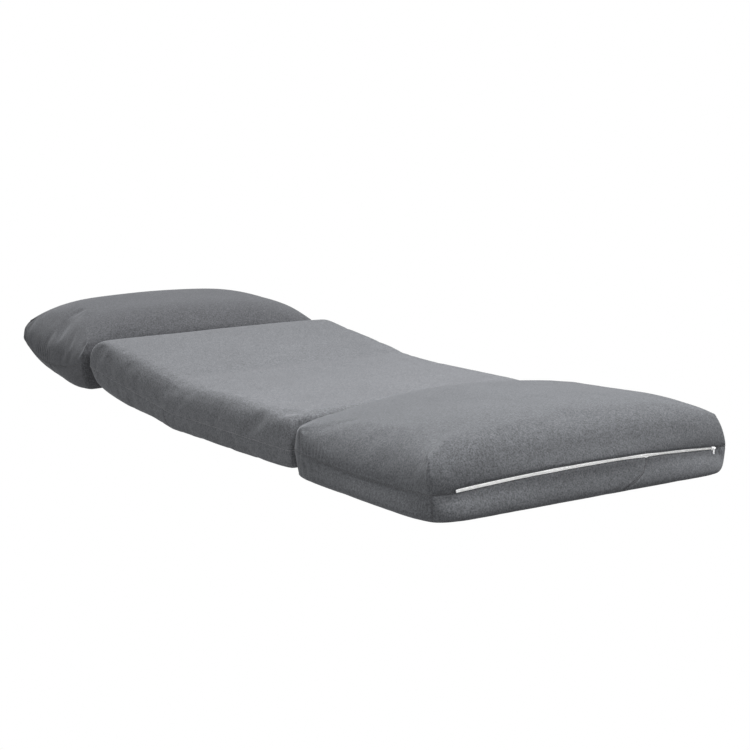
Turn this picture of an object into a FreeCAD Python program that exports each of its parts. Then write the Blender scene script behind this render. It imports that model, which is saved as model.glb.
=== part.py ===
import FreeCAD, Part
import Sketcher
import math
import os

# Fold-out chair bed: a foot cushion, a bending slab and a head cushion in one line.
# Millimetres, +Z up. +X is across the bed, +Y runs from the foot end to the head end.
# Lengths along the bed are first laid out from the foot-end corner (y = 0) and are then
# moved by shift_y, so that the origin lies under the middle of the object on the floor.

V = FreeCAD.Vector
Pl = FreeCAD.Placement
Rot = FreeCAD.Rotation

doc = FreeCAD.newDocument("chair_bed")

# ---------------------------------------------------------------- driving sizes
SIZES = [
    ("shift_y", -868.0, "moves the layout so that the origin is under the middle"),
    ("slab_width", 640.0, "slab, across"),
    ("slab_thick", 102.0, "slab thickness"),
    ("slab_seam_z", 37.0, "height of the slab side seam"),
    ("slab_corner", 20.0, "slab corner radius seen from above"),
    ("seat_y", 466.0, "foot-side end of the seat half"),
    ("bend_y", 940.0, "hinge line between seat half and back half"),
    ("bend_z", 76.0, "height of the ratchet hinge axis"),
    ("back_end_y", 1310.0, "head-side end of the back half, laid flat"),
    ("back_tilt", 7.0, "the back half's slope in its lowest position, degrees"),
    ("bend_gap", 0.6, "clear gap each side of the hinge line"),
    ("notch_deep", 30.0, "length of the soft strip over the hinge line"),
    ("notch_low", 5.0, "the soft strip reaches this far below the axis"),
    ("cover_thick", 2.0, "cover fabric with its backing"),
    ("foam_gap", 0.3, "looseness between the cover and what it holds"),
    ("pillow_width", 690.0, "foot and head cushions, across at the mid seam"),
    ("pillow_len", 462.0, "foot cushion length at the mid seam"),
    ("head_len", 424.0, "head cushion length at the mid seam"),
    ("pillow_corner", 34.0, "cushion corner radius seen from above"),
    ("pillow_seam_z", 47.0, "mid seam height above the cushion's underside"),
    ("pillow_rim_z", 106.0, "upper rim height"),
    ("foot_crown_z", 128.0, "height of the foot cushion's crown"),
    ("head_crown_z", 150.0, "height of the head cushion's crown"),
    ("pillow_bulge", 10.0, "how far the outer end bows out at its middle"),
    ("head_drop", 26.0, "the head cushion hangs this far below the slab's underside plane"),
    ("fill_z", 92.0, "top of the foam block under the fibre wadding"),
    ("flip_y", 464.0, "foot cushion fold line"),
    ("flip_z", 116.0, "height of the foot cushion fold line"),
    ("fold_y", 1312.0, "head cushion fold line, slab laid flat"),
    ("fold_z", 104.0, "height of the head cushion fold line, slab laid flat"),
    ("rail_x", 282.0, "frame rails, from the middle"),
    ("rail_z", 66.0, "frame rail height"),
    ("tube_od", 19.0, "frame tube outside diameter"),
    ("tube_id", 16.0, "frame tube inside diameter"),
    ("cross_od", 16.0, "cross tube diameter"),
    ("rail_bend", 60.0, "bend radius of the frame corners"),
    ("rail_end", 35.0, "seat rail end, from the hinge axis"),
    ("back_rail_end", 24.0, "back rail end, from the hinge axis"),
    ("frame_inset", 60.0, "cross rail, from the slab's end"),
    ("cross_inset", 130.0, "cross tube, from the hinge axis"),
    ("cheek_in", 9.7, "inner face of a hinge cheek, from the hinge's middle plane"),
    ("cheek_thick", 2.5, "hinge cheek thickness"),
    ("cheek_r", 18.0, "hinge cheek radius round the axis"),
    ("cheek_tail", 72.0, "hinge cheek length from the axis"),
    ("cheek_low", 22.0, "hinge cheek depth below the axis"),
    ("sector_r", 16.0, "notched plate radius"),
    ("sector_thick", 4.0, "notched plate thickness"),
    ("sector_tail", 74.0, "notched plate tail length"),
    ("tail_high", 12.0, "notched plate tail height"),
    ("tooth_pitch", 11.0, "angle between notches, degrees"),
    ("notch_width", 2.5, "notch width"),
    ("notch_depth", 2.3, "notch depth"),
    ("pivot_d", 8.0, "hinge pivot diameter"),
    ("pawl_pin_d", 4.0, "pawl pin diameter"),
    ("run_clear", 0.05, "radial running clearance"),
    ("rivet_d", 5.0, "rivet diameter"),
    ("rivet_head_d", 9.0, "rivet head diameter"),
    ("rivet_head", 1.6, "rivet head height"),
    ("zip_half", 305.0, "half the chord that sets the zip's arc"),
    ("zip_near", 292.0, "the zip's closed end, from the middle"),
    ("zip_far", 323.0, "the zip's open end, where the slider is parked, from the middle"),
    ("zip_rise", 12.0, "how far the zip's middle rises"),
    ("zip_tape", 12.0, "zip tape height"),
    ("zip_tape_thick", 0.9, "zip tape thickness"),
    ("zip_tooth", 4.0, "zip coil height"),
    ("zip_tooth_thick", 1.6, "zip coil thickness"),
    ("slider_long", 8.0, "zip slider length"),
    ("slider_high", 7.0, "zip slider height"),
    ("pull_long", 16.0, "zip pull length"),
    ("pull_wide", 3.6, "zip pull width"),
    ("pull_thick", 1.2, "zip pull thickness"),
    ("flap_thick", 1.0, "fabric hinge thickness"),
    ("flap_wide", 560.0, "fabric hinge, across"),
]
sheet = doc.addObject("Spreadsheet::Sheet", "Sizes")
sheet.Label = "Sizes"
for row, (alias, value, note) in enumerate(SIZES, 1):
    sheet.set("A%d" % row, note)
    sheet.set("B%d" % row, repr(value))
    sheet.setAlias("B%d" % row, alias)
doc.recompute()


def size(alias):
    return float(getattr(sheet, alias))


(shift_y, slab_width, slab_thick, seat_y, bend_y, bend_z, back_end_y) = [
    size(a)
    for a in ("shift_y", "slab_width", "slab_thick", "seat_y", "bend_y", "bend_z", "back_end_y")
]

# where each rigid group stands: the seat group lies flat, the back group is turned up
# about the hinge axis by back_tilt
FLAT = Pl(V(0, shift_y, 0), Rot())
axis_point = V(0, bend_y, bend_z)
turn = Rot(V(1, 0, 0), size("back_tilt"))
RAISED = Pl(V(0, shift_y, 0), Rot()) * Pl(axis_point - turn.multVec(axis_point), turn)

nodes = []


def keep(obj, label, stand):
    """Gives a finished sub-part its label and its place."""
    obj.Label = label
    obj.Placement = stand * obj.Placement
    nodes.append(obj)
    return obj


# ---------------------------------------------------------------- helpers
def role_plane(body, role):
    for f in body.Origin.OriginFeatures:
        if f.Role == role:
            return f
    raise RuntimeError(role)


def new_sketch(body, name, role, offset=None):
    sk = body.newObject("Sketcher::SketchObject", name)
    sk.AttachmentSupport = [(role_plane(body, role), "")]
    sk.MapMode = "FlatFace"
    if offset is not None:
        sk.setExpression("AttachmentOffset.Base.z", offset)
    return sk


def value_of(expression):
    """The value of an expression made of sheet cells and plain numbers."""
    text = expression
    total, sign, word = 0.0, 1.0, ""
    for ch in text.replace(" ", "") + "+":
        if ch in "+-" :
            if word:
                value = 1.0
                for i, part in enumerate(word.replace("/", "*/").split("*")):
                    divide = part.startswith("/")
                    part = part.lstrip("/")
                    number = size(part[6:]) if part.startswith("Sizes.") else float(part)
                    value = value / number if divide else value * number
                total += sign * value
            sign, word = (1.0 if ch == "+" else -1.0), ""
        else:
            word += ch
    return total


def pin_point(sk, geo, pos, ex, ey):
    """Holds a sketch point at a place given by two expressions."""
    for kind, e in (("DistanceX", ex), ("DistanceY", ey)):
        value = value_of(e)
        n = sk.addConstraint(Sketcher.Constraint(kind, -1, 1, geo, pos, value))
        if "Sizes." in e:
            sk.setExpression("Constraints[%d]" % n, e)


def polygon(sk, points):
    """A closed outline whose corners are given as pairs of expressions."""
    at = [V(value_of(x), value_of(y), 0) for x, y in points]
    first = None
    ids = []
    for i in range(len(at)):
        ids.append(sk.addGeometry(Part.LineSegment(at[i], at[(i + 1) % len(at)]), False))
    for i in range(len(at)):
        sk.addConstraint(Sketcher.Constraint("Coincident", ids[i], 2, ids[(i + 1) % len(at)], 1))
    for i, (x, y) in enumerate(points):
        pin_point(sk, ids[i], 1, x, y)


def circle(sk, ex, ey, ed):
    g = sk.addGeometry(Part.Circle(V(value_of(ex), value_of(ey), 0), V(0, 0, 1), value_of(ed) / 2), False)
    n = sk.addConstraint(Sketcher.Constraint("Diameter", g, value_of(ed)))
    sk.setExpression("Constraints[%d]" % n, ed)
    pin_point(sk, g, 3, ex, ey)


def pad(body, sk, length, midplane=True):
    p = body.newObject("PartDesign::Pad", sk.Name + "Pad")
    p.Profile = sk
    p.setExpression("Length", length)
    if midplane:
        if hasattr(p, "SideType"):
            p.SideType = "Symmetric"
        else:
            p.Midplane = True
    return p


def box(name, x0, x1, y0, y1, z0, z1):
    """A block between six expressions."""
    b = doc.addObject("Part::Box", name)
    b.setExpression("Length", "(%s) - (%s)" % (x1, x0))
    b.setExpression("Width", "(%s) - (%s)" % (y1, y0))
    b.setExpression("Height", "(%s) - (%s)" % (z1, z0))
    b.setExpression("Placement.Base.x", x0)
    b.setExpression("Placement.Base.y", y0)
    b.setExpression("Placement.Base.z", z0)
    return b


def rod(name, diameter, length, x, y, z, towards):
    """A round bar that starts at a point and runs along +X, +Y or +Z."""
    c = doc.addObject("Part::Cylinder", name)
    c.setExpression("Radius", "(%s) / 2" % diameter)
    c.setExpression("Height", length)
    c.Placement = Pl(V(0, 0, 0), Rot(V(0, 0, 1), towards))
    c.setExpression("Placement.Base.x", x)
    c.setExpression("Placement.Base.y", y)
    c.setExpression("Placement.Base.z", z)
    return c


def common(name, a, b):
    c = doc.addObject("Part::Common", name)
    c.Base, c.Tool = a, b
    return c


def cut(name, a, b):
    c = doc.addObject("Part::Cut", name)
    c.Base, c.Tool = a, b
    return c


def join(name, parts):
    c = doc.addObject("Part::MultiFuse", name)
    c.Shapes = parts
    return c


def group(name, parts):
    c = doc.addObject("Part::Compound", name)
    c.Links = parts
    return c


def solid_feature(name, shape):
    f = doc.addObject("Part::Feature", name)
    f.Shape = shape
    return f


# ---------------------------------------------------------------- soft shapes
def outline(z, half, y0, y1, r, bow):
    """A rounded rectangle at height z. Its low-y end bows out by bow at the middle."""
    k = r * (1 - math.sqrt(0.5))
    p = [
        V(-half + r, y0, z), V(half - r, y0, z), V(half, y0 + r, z), V(half, y1 - r, z),
        V(half - r, y1, z), V(-half + r, y1, z), V(-half, y1 - r, z), V(-half, y0 + r, z),
    ]
    edges = [
        (Part.Arc(p[0], V(0, y0 - bow, z), p[1]) if bow else Part.LineSegment(p[0], p[1])).toShape(),
        Part.Arc(p[1], V(half - k, y0 + k, z), p[2]).toShape(),
        Part.LineSegment(p[2], p[3]).toShape(),
        Part.Arc(p[3], V(half - k, y1 - k, z), p[4]).toShape(),
        Part.LineSegment(p[4], p[5]).toShape(),
        Part.Arc(p[5], V(-half + k, y1 - k, z), p[6]).toShape(),
        Part.LineSegment(p[6], p[7]).toShape(),
        Part.Arc(p[7], V(-half + k, y0 + k, z), p[0]).toShape(),
    ]
    return Part.Wire(edges)


def soft_body(levels, half, y0, y1, r, bow, t, low_bow=True):
    """A closed crowned form through outlines at (height, inset) levels, drawn in by t."""
    wires = []
    top = levels[-1][0]
    for z, inset in levels:
        i = inset + t
        zz = min(max(z, t), top - t)
        rr = max(r - t, 6.0) + 0.35 * inset
        wires.append(outline(zz, half - i, y0 + i, y1 - i, rr, bow))
    return Part.makeLoft(wires, True, True)


def pillow_levels(crown):
    seam, rim = size("pillow_seam_z"), size("pillow_rim_z")
    return [(0, 26), (9, 10), (26, 2.5), (seam, 0), (rim - 22, 4), (rim, 14), ((rim + crown) / 2, 44), (crown, 96)]


SLAB = [(0, 9), (8, 2), (size("slab_seam_z"), 0), (slab_thick - 14, 1.5), (slab_thick - 4, 5), (slab_thick, 13)]
WIDE = "Sizes.slab_width / 2 + 60"
thick, gap = size("cover_thick"), size("foam_gap")


def two_halves(name, outer, inner, seam, low, high):
    """The cover, split at its seam into an upper and a lower shell."""
    shell = cut(name + "_shell", outer, inner)
    reach = ("-" + WIDE.replace("+ ", "- "), WIDE, "-200", "Sizes.back_end_y + 700")
    top = common(name + "_cover_top", shell, box(name + "_above", *reach, seam, high))
    base = common(name + "_cover_base", shell, box(name + "_below", *reach, low, seam))
    return top, base


def make_pillow(name, y0, y1, crown, stand, drop):
    """A crowned cushion: cover in two shells, foam block and fibre wadding."""
    half, r, bow = size("pillow_width") / 2, size("pillow_corner"), size("pillow_bulge")
    levels = pillow_levels(crown)
    made = []
    for tag, t in (("outer", 0.0), ("inner", thick), ("fill", thick + gap)):
        s = soft_body(levels, half, y0, y1, r, bow, t)
        if name == "head":
            # the bowed end of the head cushion is the far one
            s = s.mirror(V(0, (y0 + y1) / 2, 0), V(0, 1, 0))
            s.translate(V(0, 0, -drop))
        made.append(solid_feature(name + "_" + tag, s))
    outer, inner, fill = made
    lift = " - Sizes.head_drop" if name == "head" else ""
    top, base = two_halves(name, outer, inner, "Sizes.pillow_seam_z" + lift, "-60", "Sizes.slab_thick + 140")
    reach = ("-" + WIDE.replace("+ ", "- "), WIDE, "-200", "Sizes.back_end_y + 700")
    core = common(name + "_foam_core", fill, box(name + "_core_zone", *reach, "-60", "Sizes.fill_z" + lift))
    wad = common(name + "_fill_pad", solid_feature(name + "_fill_copy", fill.Shape),
                 box(name + "_wad_zone", *reach, "Sizes.fill_z + Sizes.foam_gap" + lift, "Sizes.slab_thick + 140"))
    return [(top, name + "_cover_top"), (base, name + "_cover_base"), (core, name + "_foam_core"), (wad, name + "_fill_pad")]


foot_parts = make_pillow("foot", 0.0, size("pillow_len"), size("foot_crown_z"), FLAT, 0.0)
head_y0 = size("fold_y") + 2.0
head_parts = make_pillow("head", head_y0, head_y0 + size("head_len"), size("head_crown_z"), RAISED, size("head_drop"))

# slab: one soft form per half, each made longer than needed and then cut at the hinge line
half = slab_width / 2
slab_r = size("slab_corner")


def slab_forms(name, y0, y1):
    return [
        solid_feature(name + "_" + tag, soft_body(SLAB, half, y0, y1, slab_r, 0.0, t))
        for tag, t in (("outer", 0.0), ("inner", thick), ("fill", thick + gap))
    ]


LONG = ("-" + WIDE.replace("+ ", "- "), WIDE)
LOW, HIGH = "-20", "Sizes.slab_thick + 40"
NOTCH_Y = "Sizes.bend_y - Sizes.notch_deep"
NOTCH_Z = "Sizes.bend_z - Sizes.notch_low"


def seat_room(name, extra):
    """Everything on the foot side of the hinge line, less the notch over it."""
    return cut(
        name,
        box(name + "_a", *LONG, "Sizes.seat_y - 50", "Sizes.bend_y - Sizes.bend_gap", LOW, HIGH),
        box(name + "_b", *LONG, NOTCH_Y + " - " + extra, "Sizes.bend_y + 50", NOTCH_Z + " - " + extra, "Sizes.slab_thick + 60"),
    )


def back_room(name):
    return box(name, *LONG, "Sizes.bend_y + Sizes.bend_gap", "Sizes.back_end_y + 50", LOW, HIGH)


def notch_room(name):
    return box(name, *LONG, NOTCH_Y + " + 0.3", "Sizes.bend_y - 4", NOTCH_Z + " + 0.3", HIGH)


seat_outer, seat_inner, seat_fill = slab_forms("seat", seat_y, bend_y + 90)
back_outer, back_inner, back_fill = slab_forms("back", bend_y - 90, back_end_y)

SEAM = "Sizes.slab_seam_z"


def slab_covers(name, outer, inner, rooms):
    shell = cut(name + "_shell", outer, inner)
    piece = common(name + "_piece", shell, rooms)
    top = common(name + "_cover_top", piece, box(name + "_above", *LONG, "0", "Sizes.back_end_y + 90", SEAM, HIGH))
    base = common(name + "_cover_base", piece, box(name + "_below", *LONG, "0", "Sizes.back_end_y + 90", LOW, SEAM))
    return top, base


seat_cover_top, seat_cover_base = slab_covers("seat", seat_outer, seat_inner, seat_room("seat_room", "0"))
back_cover_top, back_cover_base = slab_covers("back", back_outer, back_inner, back_room("back_room"))
bend_cover = common("bend_cover_strip", cut("bend_shell", seat_outer, seat_inner), notch_room("bend_room"))
bend_block = common("bend_block", seat_fill, notch_room("bend_room_two"))

# channels in the foam for the frame and pockets for the hinges
RX, RZ = "Sizes.rail_x", "Sizes.rail_z"
WALL = "Sizes.tube_od / 2 + 2.2"
POCKET = "Sizes.cheek_in + Sizes.cheek_thick + Sizes.rivet_head + 1"


def channels(name, near, far, cross_a, cross_b, corner_y0, corner_y1):
    parts = []
    # the frame's bent corners get a square of room each
    for side, x0, x1 in (("left", "0 - " + RX + " - (" + WALL + ")", "0 - " + RX + " + Sizes.rail_bend + 8"),
                         ("right", RX + " - Sizes.rail_bend - 8", RX + " + " + WALL)):
        parts.append(box("%s_corner_%s" % (name, side), x0, x1, corner_y0, corner_y1,
                         RZ + " - (" + WALL + ")", RZ + " + " + WALL))
    for side, sign in (("left", "-"), ("right", "")):
        mid = ("0 - " if sign else "0 + ") + RX
        parts.append(box("%s_rail_%s" % (name, side), mid + " - (" + WALL + ")", mid + " + " + WALL, near, far,
                         RZ + " - (" + WALL + ")", RZ + " + " + WALL))
    for tag, at in (("one", cross_a), ("two", cross_b)):
        parts.append(box("%s_cross_%s" % (name, tag), "0 - " + RX, RX, at + " - (" + WALL + ")", at + " + " + WALL,
                         RZ + " - (" + WALL + ")", RZ + " + " + WALL))
    return parts


def pockets(name, y0, y1):
    out = []
    for side, sign in (("left", "-"), ("right", "")):
        mid = ("0 - " if sign else "0 + ") + RX
        out.append(box("%s_pocket_%s" % (name, side), mid + " - (" + POCKET + ")", mid + " + " + POCKET, y0, y1,
                       "Sizes.bend_z - Sizes.cheek_low - 1", "Sizes.bend_z + Sizes.cheek_r + 1"))
    return out


seat_voids = group("seat_voids", channels("seat_ch", "Sizes.seat_y + Sizes.frame_inset - (%s)" % WALL, "Sizes.bend_y + 2",
                                          "Sizes.seat_y + Sizes.frame_inset", "Sizes.bend_y - Sizes.cross_inset",
                                          "Sizes.seat_y + Sizes.frame_inset - (%s)" % WALL,
                                          "Sizes.seat_y + Sizes.frame_inset + Sizes.rail_bend + 8")
                   + pockets("seat", "Sizes.bend_y - Sizes.cheek_tail - 1", "Sizes.bend_y + 3"))
back_voids = group("back_voids", channels("back_ch", "Sizes.bend_y - 2", "Sizes.back_end_y - Sizes.frame_inset + " + WALL,
                                          "Sizes.back_end_y - Sizes.frame_inset", "Sizes.bend_y + Sizes.cross_inset",
                                          "Sizes.back_end_y - Sizes.frame_inset - Sizes.rail_bend - 8",
                                          "Sizes.back_end_y - Sizes.frame_inset + " + WALL)
                   + pockets("back", "Sizes.bend_y - 3", "Sizes.bend_y + Sizes.cheek_r + 8"))
bend_voids = group("bend_voids", pockets("bend", "Sizes.bend_y - 60", "Sizes.bend_y + 3"))


def foams(name, fill, room_obj, voids):
    body = common(name + "_foam_body", fill, room_obj)
    free = cut(name + "_foam_free", body, voids)
    upper = common(name + "_foam_upper", free, box(name + "_hi", *LONG, "0", "Sizes.back_end_y + 90", RZ + " + 0.15", HIGH))
    lower = common(name + "_foam_lower", free, box(name + "_lo", *LONG, "0", "Sizes.back_end_y + 90", LOW, RZ + " - 0.15"))
    return upper, lower


seat_foam_upper, seat_foam_lower = foams("seat", seat_fill, seat_room("seat_foam_room", "0.3"), seat_voids)
back_foam_upper, back_foam_lower = foams("back", back_fill, back_room("back_foam_room"), back_voids)
bend_foam = cut("bend_block_free", bend_block, bend_voids)

for obj, label in foot_parts:
    keep(obj, label, FLAT)
for obj, label in head_parts:
    keep(obj, label, RAISED)
for obj, label, stand in (
    (seat_cover_top, "seat_cover_top", FLAT), (seat_cover_base, "seat_cover_base", FLAT),
    (seat_foam_upper, "seat_foam_upper", FLAT), (seat_foam_lower, "seat_foam_lower", FLAT),
    (bend_cover, "bend_cover", FLAT), (bend_foam, "bend_foam", FLAT),
    (back_cover_top, "back_cover_top", RAISED), (back_cover_base, "back_cover_base", RAISED),
    (back_foam_upper, "back_foam_upper", RAISED), (back_foam_lower, "back_foam_lower", RAISED),
):
    keep(obj, label, stand)


# ---------------------------------------------------------------- steel frame
def u_tube(name, end_y, turn_y):
    """A U-shaped tube: two rails from end_y and a cross rail at turn_y."""
    body = doc.addObject("PartDesign::Body", name)
    path = new_sketch(body, name + "Path", "XY_Plane", RZ)
    x, b = size("rail_x"), size("rail_bend")
    e, t = value_of(end_y), value_of(turn_y)
    s = 1.0 if e > t else -1.0
    k = b * (1 - math.sqrt(0.5))
    rail_a = path.addGeometry(Part.LineSegment(V(-x, e, 0), V(-x, t + s * b, 0)), False)
    bend_a = path.addGeometry(Part.Arc(V(-x, t + s * b, 0), V(-x + k, t + s * k, 0), V(-x + b, t, 0)), False)
    cross = path.addGeometry(Part.LineSegment(V(-x + b, t, 0), V(x - b, t, 0)), False)
    bend_b = path.addGeometry(Part.Arc(V(x - b, t, 0), V(x - k, t + s * k, 0), V(x, t + s * b, 0)), False)
    rail_b = path.addGeometry(Part.LineSegment(V(x, t + s * b, 0), V(x, e, 0)), False)

    def ends(g):
        return path.getPoint(g, 1), path.getPoint(g, 2)

    chain = [rail_a, bend_a, cross, bend_b, rail_b]
    for p, q in zip(chain, chain[1:]):
        best = min(((path.getPoint(p, i) - path.getPoint(q, j)).Length, i, j) for i in (1, 2) for j in (1, 2))
        path.addConstraint(Sketcher.Constraint("Tangent", p, best[1], q, best[2]))
    for g in (bend_a, bend_b):
        n = path.addConstraint(Sketcher.Constraint("Radius", g, b))
        path.setExpression("Constraints[%d]" % n, "Sizes.rail_bend")
    pin_point(path, rail_a, 1, "-1 * " + RX, end_y)
    pin_point(path, rail_b, 2, RX, end_y)
    n = path.addConstraint(Sketcher.Constraint("DistanceY", -1, 1, cross, 1, t))
    path.setExpression("Constraints[%d]" % n, turn_y)
    ring = new_sketch(body, name + "Ring", "XZ_Plane", "-(%s)" % end_y)
    circle(ring, "-1 * " + RX, RZ, "Sizes.tube_od")
    circle(ring, "-1 * " + RX, RZ, "Sizes.tube_id")
    doc.recompute()
    pipe = body.newObject("PartDesign::AdditivePipe", name + "Pipe")
    pipe.Profile = ring
    pipe.Spine = (path, [])
    body.Tip = pipe
    doc.recompute()
    return body


def cross_tube(name, at_y, rails):
    bar = rod(name + "_bar", "Sizes.cross_od", "2 * Sizes.rail_x", "-Sizes.rail_x", at_y, RZ, V(1, 0, 0))
    bore = rod(name + "_bore", "Sizes.cross_od - 3", "2 * Sizes.rail_x", "-Sizes.rail_x", at_y, RZ, V(1, 0, 0))
    sides = [
        rod(name + "_side_" + s, "Sizes.tube_od", "200", x, at_y + " - 100", RZ, V(0, 1, 0))
        for s, x in (("left", "-Sizes.rail_x"), ("right", "Sizes.rail_x"))
    ]
    return cut(name + "_coped", cut(name + "_hollow", bar, bore), group(name + "_sides", sides))


def across(name, diameter, y, z, halfway):
    """Bars along X through both hinges, centred on each hinge's middle plane."""
    return [
        rod(name + "_" + s, diameter, "2 * (" + halfway + ")", "0 %s Sizes.rail_x - (%s)" % (sign, halfway), y, z, V(1, 0, 0))
        for s, sign in (("left", "-"), ("right", "+"))
    ]


# rivet rows: two through each seat rail and its cheeks, two through each back rail and its plate
seat_rows = ["Sizes.bend_y - 46", "Sizes.bend_y - 63"]
back_rows = ["Sizes.bend_y + 42", "Sizes.bend_y + 60"]


def rivet_holes(name, rows, diameter):
    out = []
    for i, y in enumerate(rows):
        out += across("%s_%d" % (name, i), diameter, y, RZ, "30")
    return group(name, out)


seat_tube = u_tube("seat_tube", "Sizes.bend_y - Sizes.rail_end", "Sizes.seat_y + Sizes.frame_inset")
back_tube = u_tube("back_tube", "Sizes.bend_y + Sizes.back_rail_end", "Sizes.back_end_y - Sizes.frame_inset")
seat_frame = cut("seat_frame_drilled", seat_tube, rivet_holes("seat_drill", seat_rows, "Sizes.rivet_d"))
back_frame = cut("back_frame_drilled", back_tube, rivet_holes("back_drill", back_rows, "Sizes.rivet_d"))
keep(seat_frame, "seat_frame", FLAT)
keep(back_frame, "back_frame", RAISED)
keep(cross_tube("seat_cross", "Sizes.bend_y - Sizes.cross_inset", None), "seat_cross_tube", FLAT)
keep(cross_tube("back_cross", "Sizes.bend_y + Sizes.cross_inset", None), "back_cross_tube", RAISED)


def rivets(name, rows, halfway):
    """Round rivets with a flat head at each end."""
    pieces = []
    for i, y in enumerate(rows):
        shanks = across("%s_shank_%d" % (name, i), "Sizes.rivet_d", y, RZ, halfway)
        for j, (shank, sign) in enumerate(zip(shanks, ("-", "+"))):
            heads = [
                rod("%s_head_%d%d%s" % (name, i, j, s), "Sizes.rivet_head_d", "Sizes.rivet_head",
                    "0 %s Sizes.rail_x %s" % (sign, off), y, RZ, V(1, 0, 0))
                for s, off in (("a", "+ " + halfway), ("b", "- (" + halfway + ") - Sizes.rivet_head"))
            ]
            pieces.append(join("%s_rivet_%d%d" % (name, i, j), [shank] + heads))
    return group(name, pieces)


keep(rivets("seat_rivets", seat_rows, "Sizes.cheek_in + Sizes.cheek_thick"), "seat_frame_rivets", FLAT)


# the back rivets sit on the round tube, so their heads bear on small curved washers' flats:
# the shank passes through tube and plate and each head is a plain disc just off the tube
def back_rivet_group():
    pieces = []
    for i, y in enumerate(back_rows):
        for sign in ("-", "+"):
            shank = rod("bk_shank_%d%s" % (i, "l" if sign == "-" else "r"), "Sizes.rivet_d", "Sizes.tube_od + 0.6",
                        "0 %s Sizes.rail_x - Sizes.tube_od / 2 - 0.3" % sign, y, RZ, V(1, 0, 0))
            heads = [
                rod("bk_head_%d%s%s" % (i, "l" if sign == "-" else "r", s), "Sizes.rivet_head_d", "Sizes.rivet_head",
                    "0 %s Sizes.rail_x %s" % (sign, off), y, RZ, V(1, 0, 0))
                for s, off in (("a", "+ Sizes.tube_od / 2"), ("b", "- Sizes.tube_od / 2 - Sizes.rivet_head"))
            ]
            pieces.append(join("bk_rivet_%d%s" % (i, "l" if sign == "-" else "r"), [shank] + heads))
    return group("back_rivets", pieces)


keep(back_rivet_group(), "back_frame_rivets", RAISED)

# ---------------------------------------------------------------- ratchet hinges
# Each hinge is drawn about its own axis point, sketch x along the bed and sketch y up.
PAWL_Y, PAWL_Z = "-18", "-13"
TAIL_MID = "Sizes.rail_z - Sizes.bend_z"


def place_hinge(obj, side, stand):
    x = size("rail_x") * (-1 if side == "left" else 1)
    obj.Placement = Pl(V(x, bend_y, bend_z), Rot()) * obj.Placement
    return obj


def housing(side):
    """A riveted steel channel: two cheeks joined by a web below, with a tab for the pawl spring."""
    body = doc.addObject("PartDesign::Body", "housing_" + side)
    wide = "2 * (Sizes.cheek_in + Sizes.cheek_thick)"
    sk = new_sketch(body, "HousingTail" + side, "YZ_Plane")
    polygon(sk, [("-1 * Sizes.cheek_tail", "-1 * Sizes.cheek_low"), ("0", "-1 * Sizes.cheek_low"), ("0", "3"),
                 ("-1 * Sizes.cheek_tail", "3")])
    p1 = pad(body, sk, wide)
    body.Tip = p1
    doc.recompute()
    sk2 = new_sketch(body, "HousingEye" + side, "YZ_Plane")
    circle(sk2, "0", "0", "2 * Sizes.cheek_r")
    p2 = pad(body, sk2, wide)
    body.Tip = p2
    doc.recompute()
    # inside of the channel, in front of and behind the spring tab
    reach = "Sizes.cheek_r + 4"
    inner = [
        box("hs_in_a_" + side, "0 - Sizes.cheek_in", "Sizes.cheek_in", "-32.5", reach, "0 - Sizes.cheek_low + Sizes.cheek_thick", reach),
        box("hs_in_b_" + side, "0 - Sizes.cheek_in", "Sizes.cheek_in", "-1 * Sizes.cheek_tail - 2", "-34.5", "0 - Sizes.cheek_low + Sizes.cheek_thick", reach),
        box("hs_in_c_" + side, "0 - Sizes.cheek_in", "Sizes.cheek_in", "-40", "-30", "3", reach),
        # the web stops short of the axis, so that the back rail can swing down past it
        box("hs_in_d_" + side, "0 - Sizes.cheek_in", "Sizes.cheek_in", "-12", reach, "0 - Sizes.cheek_low - 2", "0"),
    ]
    holes = [rod("hs_hole_%s_%s" % (t, side), d, "60", "-30", y, z, V(1, 0, 0)) for t, d, y, z in (
        ("axis", "Sizes.pivot_d", "0", "0"), ("pawl", "Sizes.pawl_pin_d", PAWL_Y, PAWL_Z),
        ("one", "Sizes.rivet_d", "-46", TAIL_MID), ("two", "Sizes.rivet_d", "-63", TAIL_MID))]
    return place_hinge(cut("housing_cut_" + side, body, group("housing_voids_" + side, inner + holes)), side, FLAT)


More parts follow.
